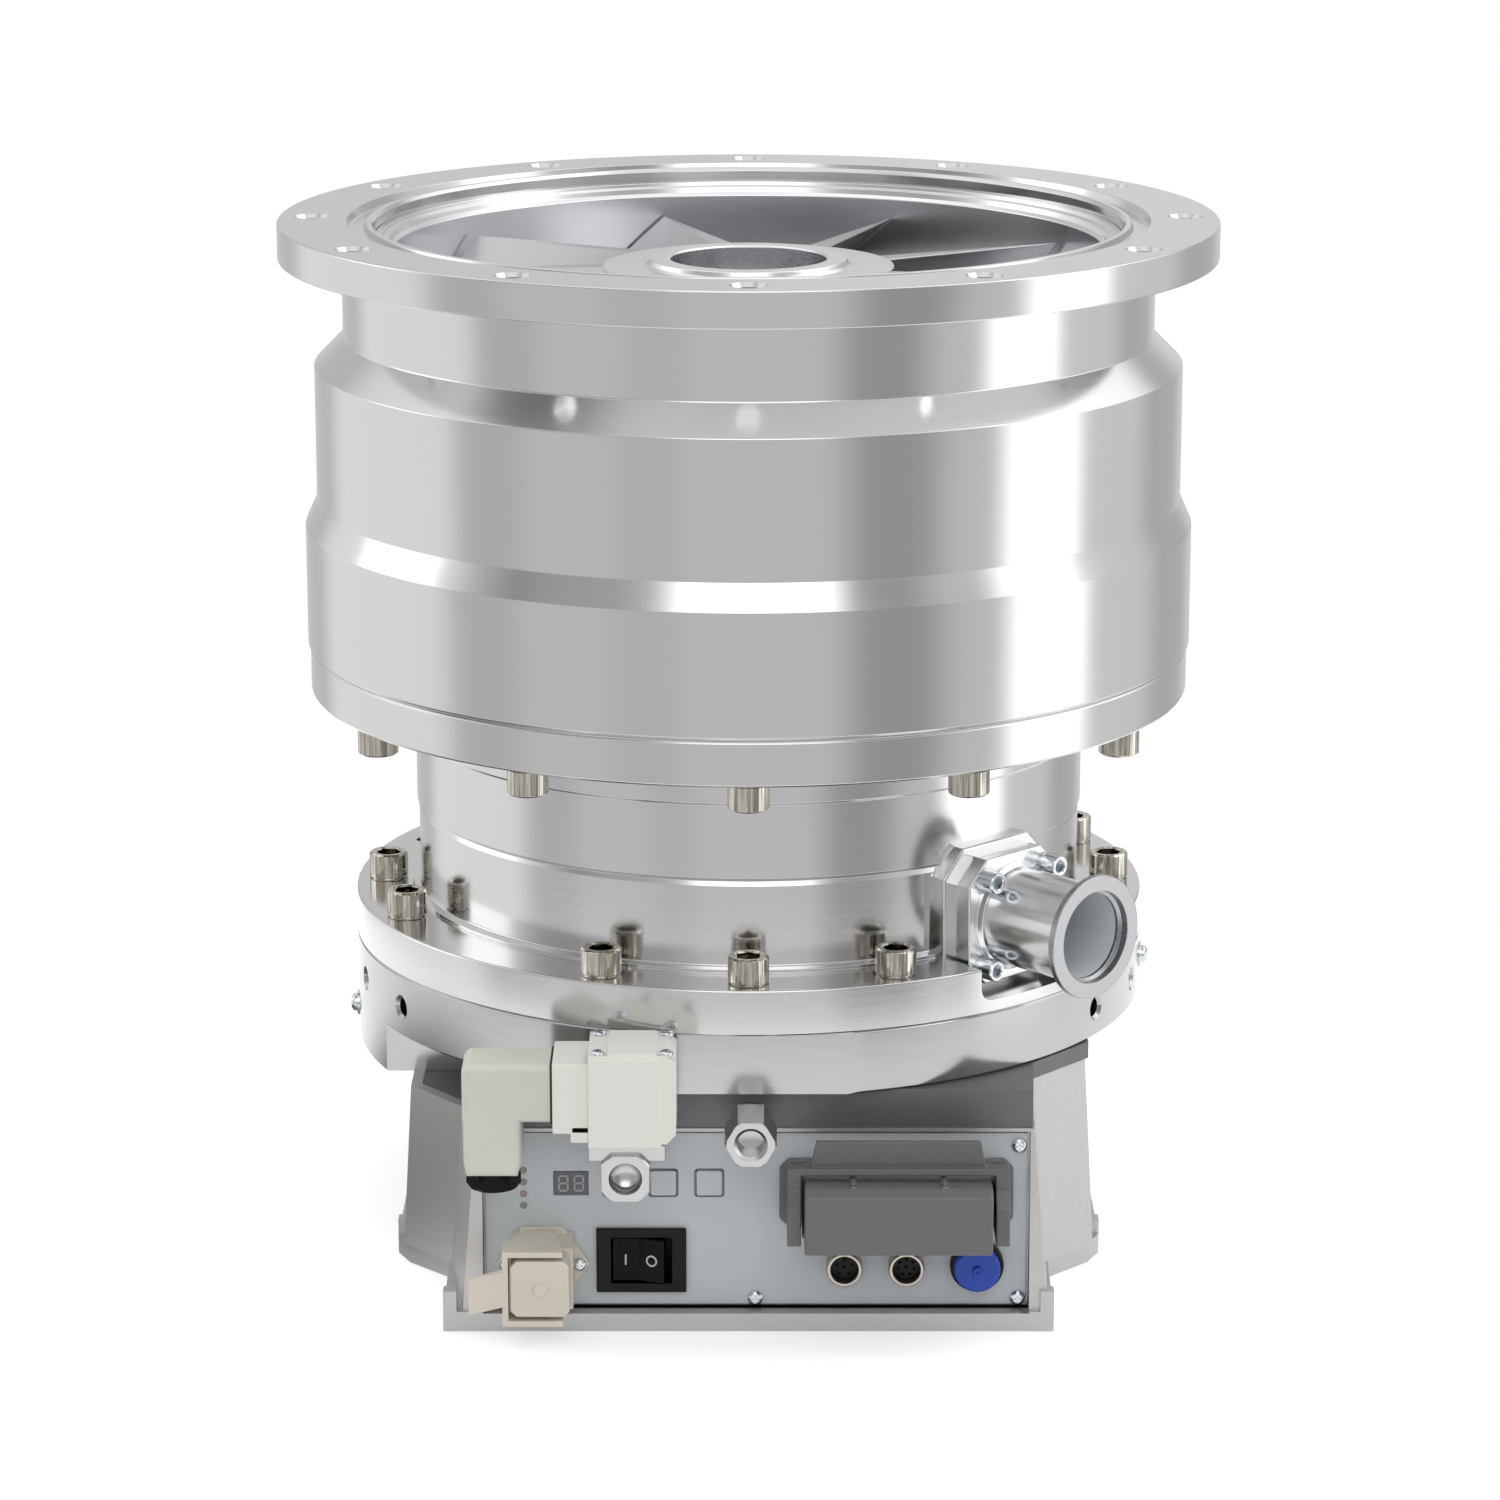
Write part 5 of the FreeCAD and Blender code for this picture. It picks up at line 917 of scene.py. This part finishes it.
# %% [markdown]
# The plug is one moulding with generous radii: a square head and a leg that narrows at its foot,
# where the six-sided gland nut sits. Its outline is drawn once and given depth with round edges,
# and the head is then cut flat where it presses on its seal.

# %% Cable plug and nut
PLUG_END = -85.1
plug_outline = [(-123.1, 133.4, 4.0), (PLUG_END + 4, 133.4, 0), (PLUG_END + 4, 107.0, 0), (-97.7, 107.0, 0),
                (-97.7, 88.0, 0), (-98.6, 85.6, 0), (-99.4, 82.5, 0), (-121.4, 82.5, 0), (-122.2, 85.6, 0),
                (-122.8, 88.0, 0), (-122.8, 107.0, 0), (-123.1, 107.4, 0)]
plug = moved(slab(plug_outline, 182, 209, 3.2, 3.2, 6), turn=outwards())
plug = carved(plug, moved(slab(oblong(5, 20, 0, PLUG_END + 5, 120), 170, 220, 0), turn=outwards()))
piece("cable_plug", plug, PLUG_NYLON, ("angle_plug",), sharp=40)
nut = turned([(0, 74.5), (10.4, 74.5, 0.3), (11.9, 75.8), (11.9, 80.6), (10.8, 82.5), (0, 82.5)],
             72, 3, 6, 21.0)
piece("cable_nut", moved(moved(nut, turn=spun(30)), (-110.4, -195.5, 0)), ROCKER_BLACK,
      ("gland_nut",))

# %% [markdown]
# The valve body is a steel block under the coil with a square port bar. The bar's front corners are
# turned away on a lathe, which leaves arcs on its flats, and the bore starts with a small cone.

# %% Valve body
PORT_X, PORT_Z = -52.8, 84.4
port_bar = slab(cut_square(10.3, 4.0), 180, 216, 0.3)
port_bar = carved(port_bar, turned([(0, 170), (13.4, 170), (13.4, 213.6), (11.2, 216.2), (0, 216.2)], 96),
                  "INTERSECT")
port_bar = carved(port_bar, turned([(0, 204.5), (6.2, 208.5), (6.2, 214.4), (7.6, 216.6), (0, 216.6)], 64))
port_foot = slab(oblong(10.3, 7, 0, 0, 101.0 - PORT_Z), 169, 181, 0)
valve_block = standing_block(-68.6, -35.7, 213.0, 180.0, 91.6, 98.6, 0.6, 0.4)
valve_body = joined([moved(joined([port_bar, port_foot]), (PORT_X, 0, PORT_Z), outwards()), valve_block])
piece("valve_port", valve_body, FITTING, ("valve_body",))

# %% [markdown]
# ## Ground screws
# Two earth screws with bright zinc heads stand out of the rim of the base block, one on each side.

# %% Ground screws
washer = turned([(0, 0), (6.0, 0), (6.0, 1.2, 0.3), (0, 1.2)], 48)
ground_screw = joined([washer, moved(pan_screw(4.2, 3.0), (0, 0, 1.1))])
ground = joined([around(ground_screw, BASE_R, [az], z, outwards) for az, z in ((-88, 98.5), (86, 124))])
piece("ground_screws", ground, ZINC)

# %% [markdown]
# ## CAD nodes that stay
# The inner pieces are seen only through the inlet or when the pump is taken apart, and their
# CAD shape is right. Each keeps its mesh and gets the finish of its real material.

# %% Finishes for the kept nodes
KEPT = {
    "stator_top_row": STATOR_ALLOY, "stator_lower_row": STATOR_ALLOY, "rotor_lower_row": SHADED_BLADE_ALLOY,
    "shaft": HIDDEN_STEEL, "upper_radial_magnet": HIDDEN_COPPER, "lower_radial_magnet": HIDDEN_COPPER,
    "motor_stator": HIDDEN_COPPER, "thrust_magnet": HIDDEN_STEEL, "touchdown_bearings": HIDDEN_STEEL,
    "power_board": BOARD_GREEN, "key_board": BOARD_GREEN,
}
for node_name, made in KEPT.items():
    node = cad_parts[node_name]
    node.data.materials.clear()
    node.data.materials.append(made)
print("kept CAD nodes:", len(KEPT))

# %% [markdown]
# ## Floor
# The floor is a pale matt disc under the pump. To the camera and to polished metal it also glows a
# little, so that it reads as the same white as the backdrop, while the pump's own shadow still
# darkens it. At the pump's left lies a dull patch, like a grey card on a studio floor: it keeps light
# off the casting's left side, and only the camera does not see it.

# %% Floor
FLOOR_R, FLOOR_RISE = 620.0, -0.3
floor_shape = turned([(0, FLOOR_RISE - 4), (FLOOR_R, FLOOR_RISE - 4, 1), (FLOOR_R, FLOOR_RISE, 1),
                      (0, FLOOR_RISE)], 96)
floor = bpy.data.objects.new("floor", to_mesh("floor", floor_shape))
scene.collection.objects.link(floor)
floor_paint = bpy.data.materials.new("pale_floor")
floor_paint.use_nodes = True
tree = floor_paint.node_tree
tree.nodes.clear()
DULL_SPOT, DULL_HALF, DULL_EDGE, DULL_TONE = (-0.33, -0.03, 0.0), 0.10, 0.26, 0.16
FLOOR_WHITE, FLOOR_GLOW = 0.78, 0.45
place = add(tree, "ShaderNodeTexCoord").outputs["Object"]
apart = add(tree, "ShaderNodeVectorMath", {0: place, 1: DULL_SPOT}, operation="DISTANCE").outputs["Value"]
tone = add(tree, "ShaderNodeMapRange", {"Value": apart, "From Min": DULL_HALF, "From Max": DULL_EDGE,
                                        "To Min": DULL_TONE, "To Max": 1.0},
           interpolation_type="SMOOTHSTEP").outputs[0]
path = add(tree, "ShaderNodeLightPath")
even = add(tree, "ShaderNodeMath", {0: path.outputs["Is Camera Ray"], 1: tone},
           operation="MAXIMUM").outputs[0]
white = add(tree, "ShaderNodeMath", {0: even, 1: FLOOR_WHITE}, operation="MULTIPLY").outputs[0]
shown = add(tree, "ShaderNodeMath", {0: path.outputs["Is Camera Ray"], 1: path.outputs["Is Glossy Ray"]},
            operation="MAXIMUM").outputs[0]
shown = add(tree, "ShaderNodeMath", {0: shown, 1: path.outputs["Is Transmission Ray"]},
            operation="MAXIMUM").outputs[0]
strength = add(tree, "ShaderNodeMath", {0: shown, 1: even}, operation="MULTIPLY").outputs[0]
strength = add(tree, "ShaderNodeMath", {0: strength, 1: FLOOR_GLOW}, operation="MULTIPLY").outputs[0]
matt = add(tree, "ShaderNodeBsdfDiffuse", {"Color": white})
glow = add(tree, "ShaderNodeEmission", {"Color": (1, 1, 1, 1), "Strength": strength})
both = add(tree, "ShaderNodeAddShader", {0: matt.outputs[0], 1: glow.outputs[0]})
add(tree, "ShaderNodeOutputMaterial", {"Surface": both.outputs[0]})
floor.data.materials.append(floor_paint)
